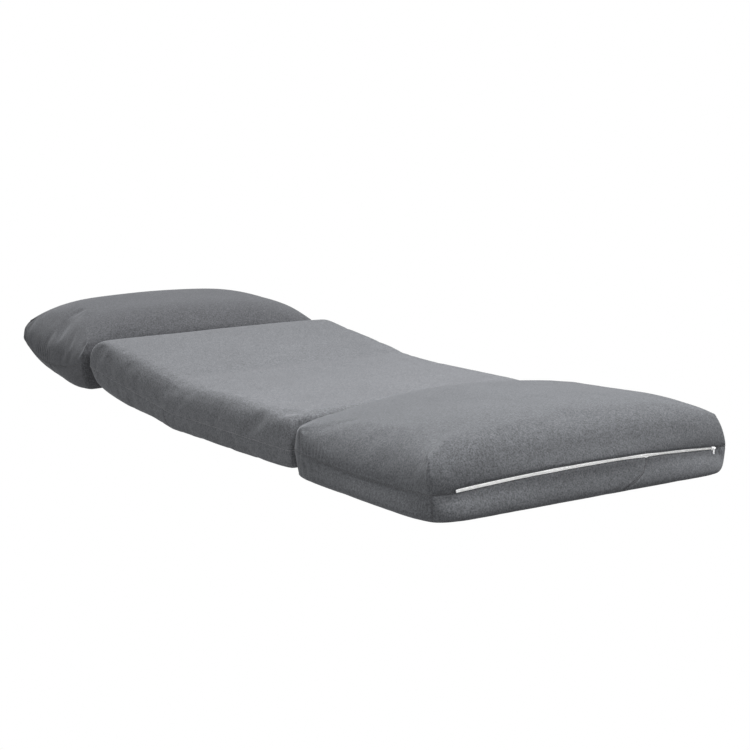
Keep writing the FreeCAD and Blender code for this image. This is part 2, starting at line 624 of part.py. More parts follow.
def sector(side):
    """The notched plate: seven notches one tooth_pitch apart, and a tail that goes into the tube."""
    body = doc.addObject("PartDesign::Body", "sector_" + side)
    sk = new_sketch(body, "SectorDisc" + side, "YZ_Plane")
    circle(sk, "0", "0", "2 * Sizes.sector_r")
    p1 = pad(body, sk, "Sizes.sector_thick")
    body.Tip = p1
    doc.recompute()
    sk2 = new_sketch(body, "SectorTail" + side, "YZ_Plane")
    polygon(sk2, [("2", "Sizes.rail_z - Sizes.bend_z - Sizes.tail_high / 2"), ("Sizes.sector_tail", "Sizes.rail_z - Sizes.bend_z - Sizes.tail_high / 2"),
                  ("Sizes.sector_tail", "Sizes.rail_z - Sizes.bend_z + Sizes.tail_high / 2"), ("2", "Sizes.rail_z - Sizes.bend_z + Sizes.tail_high / 2")])
    p2 = pad(body, sk2, "Sizes.sector_thick")
    body.Tip = p2
    doc.recompute()
    tools = []
    r, w, d = size("sector_r"), size("notch_width"), size("notch_depth")
    # notches are laid out in the plate's own lowest position, which is turned by back_tilt
    for n in range(7):
        angle = 180 - n * size("tooth_pitch") - size("back_tilt")
        b = doc.addObject("Part::Box", "sector_notch_%d_%s" % (n, side))
        b.Length = 20
        b.setExpression("Width", "Sizes.notch_depth + 2")
        b.setExpression("Height", "Sizes.notch_width")
        b.Placement = Pl(V(0, 0, 0), Rot(V(1, 0, 0), angle)) * Pl(V(-10, r - d, -w / 2), Rot())
        tools.append(b)
    tools += [rod("sector_hole_%s_%s" % (t, side), dd, "40", "-20", y, z, V(1, 0, 0)) for t, dd, y, z in (
        ("axis", "Sizes.pivot_d + 2 * Sizes.run_clear", "0", "0"),
        ("one", "Sizes.rivet_d", "42", TAIL_MID), ("two", "Sizes.rivet_d", "60", TAIL_MID))]
    return place_hinge(cut("sector_cut_" + side, body, group("sector_voids_" + side, tools)), side, RAISED)


def pawl(side):
    """A steel finger on its own pin, its nose in the plate's lowest notch."""
    body = doc.addObject("PartDesign::Body", "pawl_body_" + side)
    sk = new_sketch(body, "PawlArm" + side, "YZ_Plane")
    nose = "Sizes.notch_width / 2 - 0.35"
    polygon(sk, [("-21.5", "-12"), ("-16.9", "-9"), ("-16.9", "-0.9"), ("-14.1", "-0.9"), ("-14.1", "0.9"), ("-16.9", "0.9"), ("-16.9", "3"), ("-20", "3")])
    p1 = pad(body, sk, "Sizes.sector_thick")
    body.Tip = p1
    doc.recompute()
    sk2 = new_sketch(body, "PawlEye" + side, "YZ_Plane")
    circle(sk2, PAWL_Y, PAWL_Z, "8.4")
    p2 = pad(body, sk2, "Sizes.sector_thick")
    body.Tip = p2
    doc.recompute()
    hole = rod("pawl_hole_" + side, "Sizes.pawl_pin_d + 2 * Sizes.run_clear", "20", "-10", PAWL_Y, PAWL_Z, V(1, 0, 0))
    return place_hinge(cut("pawl_cut_" + side, body, hole), side, FLAT)


def spring(side):
    """A small compression spring between the housing's tab and the pawl's back."""
    wire, radius, length, turns = 0.8, 2.6, 9.5, 5
    helix = Part.makeHelix((length - wire) / turns, length - wire, radius)
    start = V(radius, 0, 0)
    ring = Part.Wire([Part.Circle(start, V(0, 1, 0), wire / 2).toShape()])
    coil = Part.Wire(helix.Edges).makePipeShell([ring], True, True)
    f = solid_feature("spring_" + side, coil)
    # the coil's axis turns from +Z to +Y, between the tab and the pawl
    f.Placement = Pl(V(0, -32.4 + wire / 2 + 0.1, -1.6), Rot(V(1, 0, 0), -90))
    return place_hinge(f, side, FLAT)


for side in ("left", "right"):
    keep(housing(side), "hinge_housing_" + side, FLAT)
for side in ("left", "right"):
    keep(sector(side), "ratchet_sector_" + side, RAISED)
for side in ("left", "right"):
    keep(pawl(side), "pawl_" + side, FLAT)
for side in ("left", "right"):
    keep(spring(side), "pawl_spring_" + side, FLAT)


def headed_pins(name, diameter, head, y, z):
    """A plain pin through both cheeks of each hinge, with a flat head outside each cheek."""
    out = []
    halfway = "Sizes.cheek_in + Sizes.cheek_thick"
    for s, sign in (("l", "-"), ("r", "+")):
        shank = rod("%s_shank_%s" % (name, s), diameter, "2 * (%s)" % halfway, "0 %s Sizes.rail_x - (%s)" % (sign, halfway), y, z, V(1, 0, 0))
        heads = [
            rod("%s_head_%s%s" % (name, s, t), head, "Sizes.rivet_head", "0 %s Sizes.rail_x %s" % (sign, off), y, z, V(1, 0, 0))
            for t, off in (("a", "+ " + halfway), ("b", "- (" + halfway + ") - Sizes.rivet_head"))
        ]
        out.append(join("%s_%s" % (name, s), [shank] + heads))
    return group(name, out)


keep(headed_pins("pivots", "Sizes.pivot_d", "13", "Sizes.bend_y", "Sizes.bend_z"), "hinge_pivot_pins", FLAT)
keep(headed_pins("pawl_pins_all", "Sizes.pawl_pin_d", "7", "Sizes.bend_y + " + PAWL_Y, "Sizes.bend_z + " + PAWL_Z), "pawl_pins", FLAT)

# ---------------------------------------------------------------- fabric hinges
keep(group("foot_tongue", [box("foot_tongue_strip", "0 - Sizes.flap_wide / 2", "Sizes.flap_wide / 2", "Sizes.flip_y - Sizes.flap_thick / 2", "Sizes.flip_y + Sizes.flap_thick / 2",
         "46", "Sizes.slab_thick - 2")]), "foot_hinge_flap", FLAT)
keep(group("head_tongue", [box("head_tongue_strip", "0 - Sizes.flap_wide / 2", "Sizes.flap_wide / 2", "Sizes.fold_y - Sizes.flap_thick / 2", "Sizes.fold_y + Sizes.flap_thick / 2",
         "30", "84")]), "head_hinge_flap", RAISED)

# ---------------------------------------------------------------- zip on the foot end
# The zip follows a shallow arc that bows out and up in the middle of the foot end.
zip_half, rise, bow = size("zip_half"), size("zip_rise"), size("pillow_bulge")
chord_y = -0.35 - 1.6
mid_point = V(0, -bow - 1.6, size("pillow_seam_z") + rise)
end_point = V(zip_half, chord_y, size("pillow_seam_z"))
out_dir = V(0, mid_point.y - end_point.y, mid_point.z - end_point.z)
sag = out_dir.Length
out_dir.normalize()
zip_r = (zip_half ** 2 + sag ** 2) / (2 * sag)
zip_from = -math.degrees(math.asin(size("zip_near") / zip_r))
zip_to = math.degrees(math.asin(size("zip_far") / zip_r))
zip_angle = zip_to - zip_from
zip_centre = mid_point - out_dir * zip_r
zip_axis = out_dir.cross(V(1, 0, 0))
zip_axis.normalize()


def along_zip(y0, y1, z0, z1, start, sweep):
    """A strip of rectangular section swept round the zip's centre."""
    c = mid_point
    pts = [V(0, c.y + y0, c.z + z0), V(0, c.y + y1, c.z + z0), V(0, c.y + y1, c.z + z1), V(0, c.y + y0, c.z + z1)]
    face = Part.Face(Part.makePolygon(pts + [pts[0]]))
    face.rotate(zip_centre, zip_axis, start)
    return face.revolve(zip_centre, zip_axis, sweep)


th, tt, tz = size("zip_tape_thick"), size("zip_tooth_thick"), size("zip_tape")
keep(solid_feature("zip_tape", along_zip(0.3, 0.3 + th, -tz / 2, tz / 2, zip_from, zip_angle)), "zip_tape", FLAT)
keep(solid_feature("zip_teeth", along_zip(0.3 - tt, 0.3, -size("zip_tooth") / 2, size("zip_tooth") / 2, zip_from + 0.1, zip_angle - 0.2)), "zip_teeth", FLAT)

stop_w = 1.8
stops = []
for stop_at in (zip_from - 0.02, zip_to + 0.02):
    b = Part.makeBox(stop_w, 2.2, 4.8, V(-stop_w / 2, mid_point.y + 0.3 - 2.2, mid_point.z - 2.4))
    b.rotate(zip_centre, zip_axis, stop_at)
    stops.append(b)
keep(solid_feature("zip_end_stops", Part.makeCompound(stops)), "zip_end_stops", FLAT)

# the slider: a channel over the coil with two ears that hold the pull's bar
parked = zip_to - 0.13
sl, sh = size("slider_long"), size("slider_high")
y_back = mid_point.y + 0.3 - 0.05
y_front = y_back - tt - 1.6
channel = Part.makeBox(sl, y_back - y_front, sh, V(-sl / 2, y_front, mid_point.z - sh / 2))
channel = channel.makeFillet(1.2, [e for e in channel.Edges if abs(e.tangentAt(e.FirstParameter).y) > 0.9])
groove = Part.makeBox(sl + 2, tt + 0.35, size("zip_tooth") + 0.8, V(-sl / 2 - 1, y_back - tt - 0.3, mid_point.z - size("zip_tooth") / 2 - 0.4))
channel = channel.cut(groove)
pw = size("pull_wide")
bar_y, bar_z = y_front - 1.6, mid_point.z + 1.0
for s in (-1, 1):
    ear = Part.makeBox(1.0, 3.1, 3.4, V(s * (pw / 2 + 0.8) - 0.5, y_front - 3.0, bar_z - 1.7))
    channel = channel.fuse(ear)
bar = Part.makeCylinder(0.8, pw + 1.6, V(-pw / 2 - 0.8, bar_y, bar_z), V(1, 0, 0))
channel = channel.fuse(bar).removeSplitter()
channel.rotate(zip_centre, zip_axis, parked)
keep(solid_feature("slider", channel), "zip_slider", FLAT)

# the pull hangs from the bar
pt, plen = size("pull_thick"), size("pull_long")
tab = Part.makeBox(pw, pt, plen, V(-pw / 2, bar_y - pt / 2, bar_z - plen))
tab = tab.makeFillet(1.6, [e for e in tab.Edges if abs(e.tangentAt(e.FirstParameter).y) > 0.9 and e.CenterOfMass.z < bar_z - plen / 2])
eye = Part.makeCylinder(1.5, pw, V(-pw / 2, bar_y, bar_z), V(1, 0, 0))
tab = tab.fuse(eye).cut(Part.makeCylinder(0.8 + size("run_clear"), pw + 2, V(-pw / 2 - 1, bar_y, bar_z), V(1, 0, 0)))
tab = tab.removeSplitter()
tab.rotate(zip_centre, zip_axis, parked)
keep(solid_feature("pull", tab), "zip_pull", FLAT)

bar_now = Pl(V(0, 0, 0), Rot(zip_axis, parked), zip_centre).multVec(V(0, bar_y, bar_z))
bar_dir = Rot(zip_axis, parked).multVec(V(1, 0, 0))

doc.recompute()

# ---------------------------------------------------------------- checks and export
for obj in doc.Objects:
    bad = [s for s in obj.State if s in ("Invalid", "Error")]
    if bad:
        raise RuntimeError("%s (%s): %s" % (obj.Name, obj.Label, bad))
for obj in nodes:
    shape = obj.Shape
    if shape.isNull() or not shape.isValid() or not shape.Solids:
        raise RuntimeError("%s has no valid solid" % obj.Label)

os.makedirs("parts", exist_ok=True)
whole = FreeCAD.BoundBox()
for obj in nodes:
    obj.Shape.exportStep("parts/%s.step" % obj.Label)
    b = obj.Shape.optimalBoundingBox(False)
    whole.add(b)
    print("%-22s solids %3d  volume %12.1f  x %8.2f %8.2f  y %8.2f %8.2f  z %8.2f %8.2f"
          % (obj.Label, len(obj.Shape.Solids), obj.Shape.Volume, b.XMin, b.XMax, b.YMin, b.YMax, b.ZMin, b.ZMax))
print("box", [round(v, 3) for v in (whole.XMin, whole.XMax, whole.YMin, whole.YMax, whole.ZMin, whole.ZMax)])
print("nodes", len(nodes))


def report_axis(name, point, direction):
    print("axis %-12s pos_m %s axis %s" % (name, [round(v / 1000, 6) for v in point], [round(v, 6) for v in direction]))


report_axis("back_recline", FLAT.multVec(axis_point), V(1, 0, 0))
report_axis("foot_flip", FLAT.multVec(V(0, size("flip_y"), size("flip_z"))), V(-1, 0, 0))
report_axis("head_fold", RAISED.multVec(V(0, size("fold_y"), size("fold_z"))), V(1, 0, 0))
report_axis("zip_travel", FLAT.multVec(zip_centre), zip_axis)
report_axis("pull_swing", FLAT.multVec(bar_now), bar_dir)
report_axis("pawl_lift", FLAT.multVec(V(0, bend_y - 18, bend_z - 13)), V(1, 0, 0))
print("zip from", zip_from, "to", zip_to, "parked", parked)
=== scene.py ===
import math

import bpy
import numpy as np
from mathutils import Matrix, Vector


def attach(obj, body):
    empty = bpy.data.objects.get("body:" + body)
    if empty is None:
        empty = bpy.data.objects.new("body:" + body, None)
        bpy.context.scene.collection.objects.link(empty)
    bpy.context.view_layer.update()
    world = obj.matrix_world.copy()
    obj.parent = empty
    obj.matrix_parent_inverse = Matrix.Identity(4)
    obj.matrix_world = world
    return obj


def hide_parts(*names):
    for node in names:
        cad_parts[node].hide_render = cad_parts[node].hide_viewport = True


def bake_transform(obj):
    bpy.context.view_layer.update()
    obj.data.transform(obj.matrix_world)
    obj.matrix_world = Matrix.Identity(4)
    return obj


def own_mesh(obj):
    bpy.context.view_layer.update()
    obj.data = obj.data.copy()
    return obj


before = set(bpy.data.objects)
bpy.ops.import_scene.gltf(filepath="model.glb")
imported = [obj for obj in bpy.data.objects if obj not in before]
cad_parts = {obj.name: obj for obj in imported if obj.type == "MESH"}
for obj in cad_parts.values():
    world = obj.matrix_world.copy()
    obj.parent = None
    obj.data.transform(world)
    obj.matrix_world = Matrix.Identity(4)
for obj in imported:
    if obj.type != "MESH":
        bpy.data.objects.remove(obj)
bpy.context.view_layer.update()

scene = bpy.context.scene
MM = 0.001
SHIFT = -868.0          # layout millimetres to the frame's y
BEND = (940.0, 76.0)    # hinge axis of the slab, layout y and z
FLIP = (464.0, 116.0)   # fold line of the foot cushion
FOLD = (1312.0, 104.0)  # fold line of the head cushion, slab laid flat
TILT = math.radians(7.0)


# ------------------------------------------------------------------ small helpers
def smooth(t):
    t = np.clip(t, 0.0, 1.0)
    return t * t * (3 - 2 * t)


def hump(t, centre, width):
    return np.exp(-((t - centre) / width) ** 2)


def noise3(p, scale, seed):
    """Smooth value noise in about -1..1 at points p (n,3), features about scale wide."""
    q = p / scale + 1000.0
    i = np.floor(q).astype(np.int64)
    f = q - i
    f = f * f * (3 - 2 * f)
    out = np.zeros(len(p))
    for dx in (0, 1):
        for dy in (0, 1):
            for dz in (0, 1):
                h = ((i[:, 0] + dx) * 73856093) ^ ((i[:, 1] + dy) * 19349663) ^ ((i[:, 2] + dz) * 83492791) ^ (seed * 2654435)
                h = (h ^ (h >> 13)) * 1274126177
                v = (((h >> 4) & 0xFFFF).astype(float) / 65535.0) * 2 - 1
                w = (f[:, 0] if dx else 1 - f[:, 0]) * (f[:, 1] if dy else 1 - f[:, 1]) * (f[:, 2] if dz else 1 - f[:, 2])
                out += v * w
    return out


def raise_back(p, w=1.0):
    """Turns layout points about the slab's hinge axis by the rest tilt times w."""
    w = np.broadcast_to(np.asarray(w, float), p[:, 0].shape)
    a = TILT * w
    y, z = p[:, 1] - BEND[0], p[:, 2] - BEND[1]
    out = p.copy()
    out[:, 1] = BEND[0] + y * np.cos(a) - z * np.sin(a)
    out[:, 2] = BEND[1] + y * np.sin(a) + z * np.cos(a)
    return out


def to_frame(p):
    out = np.array(p, float)
    out[:, 1] += SHIFT
    return out * MM


def new_object(name, verts, faces, smooth_shade=True):
    me = bpy.data.meshes.new(name)
    me.from_pydata(np.asarray(verts, float).tolist(), [], [tuple(map(int, f)) for f in faces])
    me.update()
    if smooth_shade:
        me.polygons.foreach_set("use_smooth", [True] * len(me.polygons))
    ob = bpy.data.objects.new(name, me)
    scene.collection.objects.link(ob)
    return ob


def coords(ob):
    a = np.empty(len(ob.data.vertices) * 3)
    ob.data.vertices.foreach_get("co", a)
    return a.reshape(-1, 3)


def set_coords(ob, a):
    ob.data.vertices.foreach_set("co", np.ascontiguousarray(a, dtype=float).ravel())
    ob.data.update()


def normals(ob):
    a = np.empty(len(ob.data.vertices) * 3)
    ob.data.vertices.foreach_get("normal", a)
    return a.reshape(-1, 3)


def evaluated(ob):
    dg = bpy.context.evaluated_depsgraph_get()
    e = ob.evaluated_get(dg)
    me = e.to_mesh()
    a = np.empty(len(me.vertices) * 3)
    me.vertices.foreach_get("co", a)
    e.to_mesh_clear()
    return a.reshape(-1, 3)


def subdivided(ob, levels):
    """Replaces the mesh by its subdivision and carries its point attributes along."""
    mod = ob.modifiers.new("sub", "SUBSURF")
    mod.levels = mod.render_levels = levels
    dg = bpy.context.evaluated_depsgraph_get()
    me = bpy.data.meshes.new_from_object(ob.evaluated_get(dg))
    ob.modifiers.clear()
    old = ob.data
    ob.data = me
    bpy.data.meshes.remove(old)
    me.name = ob.name
    me.polygons.foreach_set("use_smooth", [True] * len(me.polygons))
    return ob


def put_attributes(ob, **values):
    for name, v in values.items():
        at = ob.data.attributes.new(name, "FLOAT", "POINT")
        at.data.foreach_set("value", np.asarray(v, np.float32))


def take_attributes(ob, *names):
    out = []
    for name in names:
        v = np.empty(len(ob.data.vertices), np.float32)
        ob.data.attributes[name].data.foreach_get("value", v)
        out.append(v.astype(float))
    for name in names:
        ob.data.attributes.remove(ob.data.attributes[name])
    return out


# ------------------------------------------------------------------ a soft tray-shaped skin
H_LOW = [0, 0.10, 0.22, 0.38, 0.56, 0.74, 0.88, 0.96, 1.0]
H_HIGH = [1.04, 1.12, 1.24, 1.38, 1.52, 1.66, 1.78, 1.89, 2.0]


class Skin:
    """A closed skin: floor panel, lower band (h 0..1), upper wall (h 1..2) and top panel.

    a runs -1..1 across, b runs -1..1 along; s runs 0..4 round the wall from the corner at
    low a and low b: 0..1 along the low-b side, 1..2 the high-a side, 2..3 back along the
    high-b side, 3..4 the low-a side.
    """

    def __init__(self, nx, ny, ys=None):
        def spread(n):
            u = np.linspace(-1, 1, n + 1)
            return 1.3 * u - 0.3 * u ** 3

        xs = spread(nx)
        ys = spread(ny) if ys is None else ys
        ny = len(ys) - 1
        hs = np.array(H_LOW + H_HIGH)
        self.seam_k = len(H_LOW) - 1
        nz = len(hs) - 1
        self.nx, self.ny, self.nz = nx, ny, nz
        I, pts = {}, []
        for k in range(nz + 1):
            for j in range(ny + 1):
                for i in range(nx + 1):
                    if i in (0, nx) or j in (0, ny) or k in (0, nz):
                        I[i, j, k] = len(pts)
                        pts.append((xs[i], ys[j], hs[k], i, j, k))
        pts = np.array(pts)
        self.a, self.b, self.h = pts[:, 0], pts[:, 1], pts[:, 2]
        self.i, self.j, self.k = pts[:, 3].astype(int), pts[:, 4].astype(int), pts[:, 5].astype(int)
        f = []
        for j in range(ny):
            for i in range(nx):
                f.append((I[i, j, 0], I[i, j + 1, 0], I[i + 1, j + 1, 0], I[i + 1, j, 0]))
                f.append((I[i, j, nz], I[i + 1, j, nz], I[i + 1, j + 1, nz], I[i, j + 1, nz]))
        for k in range(nz):
            for i in range(nx):
                f.append((I[i, 0, k], I[i + 1, 0, k], I[i + 1, 0, k + 1], I[i, 0, k + 1]))
                f.append((I[i, ny, k], I[i, ny, k + 1], I[i + 1, ny, k + 1], I[i + 1, ny, k]))
            for j in range(ny):
                f.append((I[0, j, k], I[0, j, k + 1], I[0, j + 1, k + 1], I[0, j + 1, k]))
                f.append((I[nx, j, k], I[nx, j + 1, k], I[nx, j + 1, k + 1], I[nx, j, k + 1]))
        self.faces = f
        self.top, self.floor = self.k == nz, self.k == 0
        front, back = self.j == 0, self.j == ny
        left, right = self.i == 0, self.i == nx
        self.side = {"front": front, "right": right, "back": back, "left": left}
        self.edge = front | back | left | right
        self.corner = (front | back) & (left | right)
        u, v = (self.a + 1) / 2, (self.b + 1) / 2
        s = np.select([front & ~right, right & ~back, back & ~left, left], [u, 1 + v, 3 - u, 4 - v], 0.0)
        self.s = s % 4
        nb = set()
        for q in f:
            for c in range(4):
                nb.add((min(q[c], q[(c + 1) % 4]), max(q[c], q[(c + 1) % 4])))
        self.links = np.array(sorted(nb))

    def relax(self, p, free, times, amount=0.5):
        """Laplacian smoothing by each point's free weight."""
        v, w = self.links[:, 0], self.links[:, 1]
        n = np.bincount(v, minlength=len(p)) + np.bincount(w, minlength=len(p))
        for _ in range(times):
            s = np.zeros_like(p)
            for c in range(3):
                s[:, c] = np.bincount(v, weights=p[w, c], minlength=len(p)) + np.bincount(w, weights=p[v, c], minlength=len(p))
            p = p + (s / n[:, None] - p) * (amount * free)[:, None]
        return p

    def place(self, knots, corners, sides, dome=None, belly=None):
        """Skin points. corners: A (low a, low b), B (high a, low b), C (high a, high b), D.

        Each corner is (xs, ys, zs) at the knots. Each side is (outward bow, its power,
        lift, its power) at the knots.
        """
        def at(h, values):
            return np.interp(h, knots, values)

        def corner_at(name, h):
            return np.stack([at(h, c) for c in corners[name]], -1)

        def curve(side, t, h):
            first, last = {"front": "AB", "right": "BC", "back": "DC", "left": "AD"}[side]
            out = {"front": (0, -1), "right": (1, 0), "back": (0, 1), "left": (-1, 0)}[side]
            P, Q = corner_at(first, h), corner_at(last, h)
            p = P + (Q - P) * t[:, None]
            bow, power, lift, lift_power = sides[side]
            m = np.abs(2 * t - 1)
            w = at(h, bow) * (1 - m ** at(h, power))
            p[:, 0] += out[0] * w
            p[:, 1] += out[1] * w
            p[:, 2] += at(h, lift) * (1 - m ** at(h, lift_power))
            return p

        u, v, h = (self.a + 1) / 2, (self.b + 1) / 2, self.h
        p = np.zeros((len(h), 3))
        for side, t in (("front", u), ("back", u), ("left", v), ("right", v)):
            m = self.side[side]
            p[m] = curve(side, t[m], h[m])
        for level in (0.0, 2.0):
            m = ~self.edge & (h == level)
            uu, vv, hh = u[m], v[m], h[m]
            F, B = curve("front", uu, hh), curve("back", uu, hh)
            L, R = curve("left", vv, hh), curve("right", vv, hh)
            cA, cB, cC, cD = (corner_at(n, hh) for n in "ABCD")
            U, V = uu[:, None], vv[:, None]
            p[m] = (1 - V) * F + V * B + (1 - U) * L + U * R - (
                (1 - U) * (1 - V) * cA + U * (1 - V) * cB + U * V * cC + (1 - U) * V * cD)
        if dome is not None:
            p[self.top, 2] += dome(self.a[self.top], self.b[self.top])
        if belly is not None:
            p[self.floor, 2] += belly(self.a[self.floor], self.b[self.floor])
        return p


def mirrored(c):
    return ([-x for x in c[0]], list(c[1]), list(c[2]))


def inflate(name, skin, p, pins, pressure, frames, cap, grow, bending, tension=15.0):
    """Cloth with inner pressure, applied. p and cap are millimetres."""
    ob = new_object(name + "_sim", p * MM, skin.faces)
    group = ob.vertex_groups.new(name="pin")
    q = np.round(pins, 2)
    for w in np.unique(q):
        if w > 0:
            group.add(np.nonzero(np.abs(q - w) < 0.005)[0].tolist(), float(w), "REPLACE")
    mod = ob.modifiers.new("cloth", "CLOTH")
    s = mod.settings
    s.quality = 4
    s.mass = 0.3
    s.air_damping = 2.0
    s.tension_stiffness = s.compression_stiffness = tension
    s.shear_stiffness = 5.0
    s.bending_stiffness = bending
    s.tension_damping = s.compression_damping = 10.0
    s.vertex_group_mass = "pin"
    s.pin_stiffness = 2.0
    s.use_pressure = True
    s.uniform_pressure_force = pressure
    s.shrink_min = -grow
    s.effector_weights.gravity = 0.0
    mod.collision_settings.use_collision = False
    mod.collision_settings.use_self_collision = False
    mod.point_cache.frame_start = 1
    mod.point_cache.frame_end = frames + 1
    for f in range(1, frames + 1):
        scene.frame_set(f)
    after = evaluated(ob)
    bpy.data.objects.remove(ob)
    scene.frame_set(1)
    move = after / MM - p
    length = np.linalg.norm(move, axis=1)
    print(name, "cloth moved mm: mean %.1f max %.1f" % (length.mean(), length.max()))
    return p + move * np.minimum(1.0, cap / np.maximum(length, 1e-9))[:, None]


def soften(skin, p, rounds, dart=0.12, dart_low=0.3, floor_ab=(0.90, 0.88)):
    """Rounds the edges of a skin, keeping its seam, its corner darts and the part it rests on."""
    K = skin.seam_k
    seam = (skin.k == K) & skin.edge
    darts = skin.corner & (skin.k > K)
    low = skin.corner & (skin.k < K) & (skin.k > 0)
    inner = skin.floor & (np.abs(skin.a) < floor_ab[0]) & (np.abs(skin.b) < floor_ab[1])
    free = np.ones(len(p))
    free[seam] = 0.0
    free[darts] = dart
    free[low] = dart_low
    free[inner] = 0.0
    pins = np.zeros(len(p))
    pins[seam] = 1.0
    pins[darts] = 0.9
    pins[low] = 0.6
    pins[inner] = 1.0
    return skin.relax(p, free, rounds, 0.55), pins


def press(x, limit, soft, upper=True):
    """Keeps a coordinate on its side of a plane, rounding softly into it."""
    s = 1.0 if upper else -1.0
    d = s * x - (s * limit - soft)
    return np.where(d > 0, s * (s * limit - soft + soft * (1 - np.exp(-np.maximum(d, 0) / soft))), x)


# ------------------------------------------------------------------ small sewn things
def frames_along(pts, closed):
    """Tangent, and two directions across, at each point of a line."""
    t = np.roll(pts, -1, 0) - np.roll(pts, 1, 0) if closed else np.gradient(pts, axis=0)
    t = t / np.maximum(np.linalg.norm(t, axis=1), 1e-12)[:, None]
    ref = np.tile([0.0, 0.0, 1.0], (len(pts), 1))
    ref[np.abs(t[:, 2]) > 0.9] = [0.0, 1.0, 0.0]
    u = np.cross(ref, t)
    u /= np.maximum(np.linalg.norm(u, axis=1), 1e-12)[:, None]
    return t, u, np.cross(t, u)


def spaced(pts, out, step, closed=False):
    """The line again with points step apart, and the outward directions there."""
    p = np.vstack([pts, pts[:1]]) if closed else pts
    o = np.vstack([out, out[:1]]) if closed else out
    d = np.concatenate([[0], np.cumsum(np.linalg.norm(np.diff(p, axis=0), axis=1))])
    n = max(int(round(d[-1] / step)), 2)
    at = np.linspace(0, d[-1], n + 1)
    if closed:
        at = at[:-1]
    q = np.stack([np.interp(at, d, p[:, c]) for c in range(3)], 1)
    w = np.stack([np.interp(at, d, o[:, c]) for c in range(3)], 1)
    return q, w / np.maximum(np.linalg.norm(w, axis=1), 1e-12)[:, None]


def loft(name, rings, close_ends=True):
    """Skins a row of rings, an array (n, sides, 3)."""
    n, sides = rings.shape[:2]
    faces = []
    for i in range(n - 1):
        for k in range(sides):
            l = (k + 1) % sides
            faces.append((i * sides + k, i * sides + l, (i + 1) * sides + l, (i + 1) * sides + k))
    if close_ends:
        faces.append(tuple(range(sides - 1, -1, -1)))
        faces.append(tuple((n - 1) * sides + k for k in range(sides)))
    return new_object(name, rings.reshape(-1, 3), faces)


def cord_of(name, pts, radius, sides=6):
    """A thin round thread along an open line of points, all in metres."""
    t, u, w = frames_along(pts, False)
    ang = np.arange(sides) * 2 * math.pi / sides
    r = np.broadcast_to(np.asarray(radius, float), (len(pts),))[:, None, None]
    rings = pts[:, None, :] + r * (np.cos(ang)[None, :, None] * u[:, None, :] + np.sin(ang)[None, :, None] * w[:, None, :])
    return loft(name, rings)


def stitch_row(name, pts, out, length, gap, radius, closed=False, sides=5):
    """Short thread stitches along a line; out is the way out of the cloth at each point."""
    p, o = spaced(pts, out, length + gap, closed)
    t, _, _ = frames_along(p, closed)
    side = np.cross(t, o)
    side /= np.maximum(np.linalg.norm(side, axis=1), 1e-12)[:, None]
    ang = np.arange(sides) * 2 * math.pi / sides
    rows = []
    for along, fat, up in ((-0.5, 0.4, -1.0), (-0.36, 0.9, 0.0), (0.0, 1.0, 0.25), (0.36, 0.9, 0.0), (0.5, 0.4, -1.0)):
        c = p + t * (along * length) + o * (up * radius)
        rows.append(c[:, None, :] + radius * fat * (np.cos(ang)[None, :, None] * side[:, None, :] + np.sin(ang)[None, :, None] * o[:, None, :]))
    rows = np.stack(rows, 1)
    n, m = rows.shape[:2]
    faces = []
    for i in range(n):
        base = i * m * sides
        for r in range(m - 1):
            for k in range(sides):
                l = (k + 1) % sides
                faces.append((base + r * sides + k, base + r * sides + l, base + (r + 1) * sides + l, base + (r + 1) * sides + k))
        faces.append(tuple(base + k for k in range(sides - 1, -1, -1)))
        faces.append(tuple(base + (m - 1) * sides + k for k in range(sides)))
    return new_object(name, rows.reshape(-1, 3), faces)


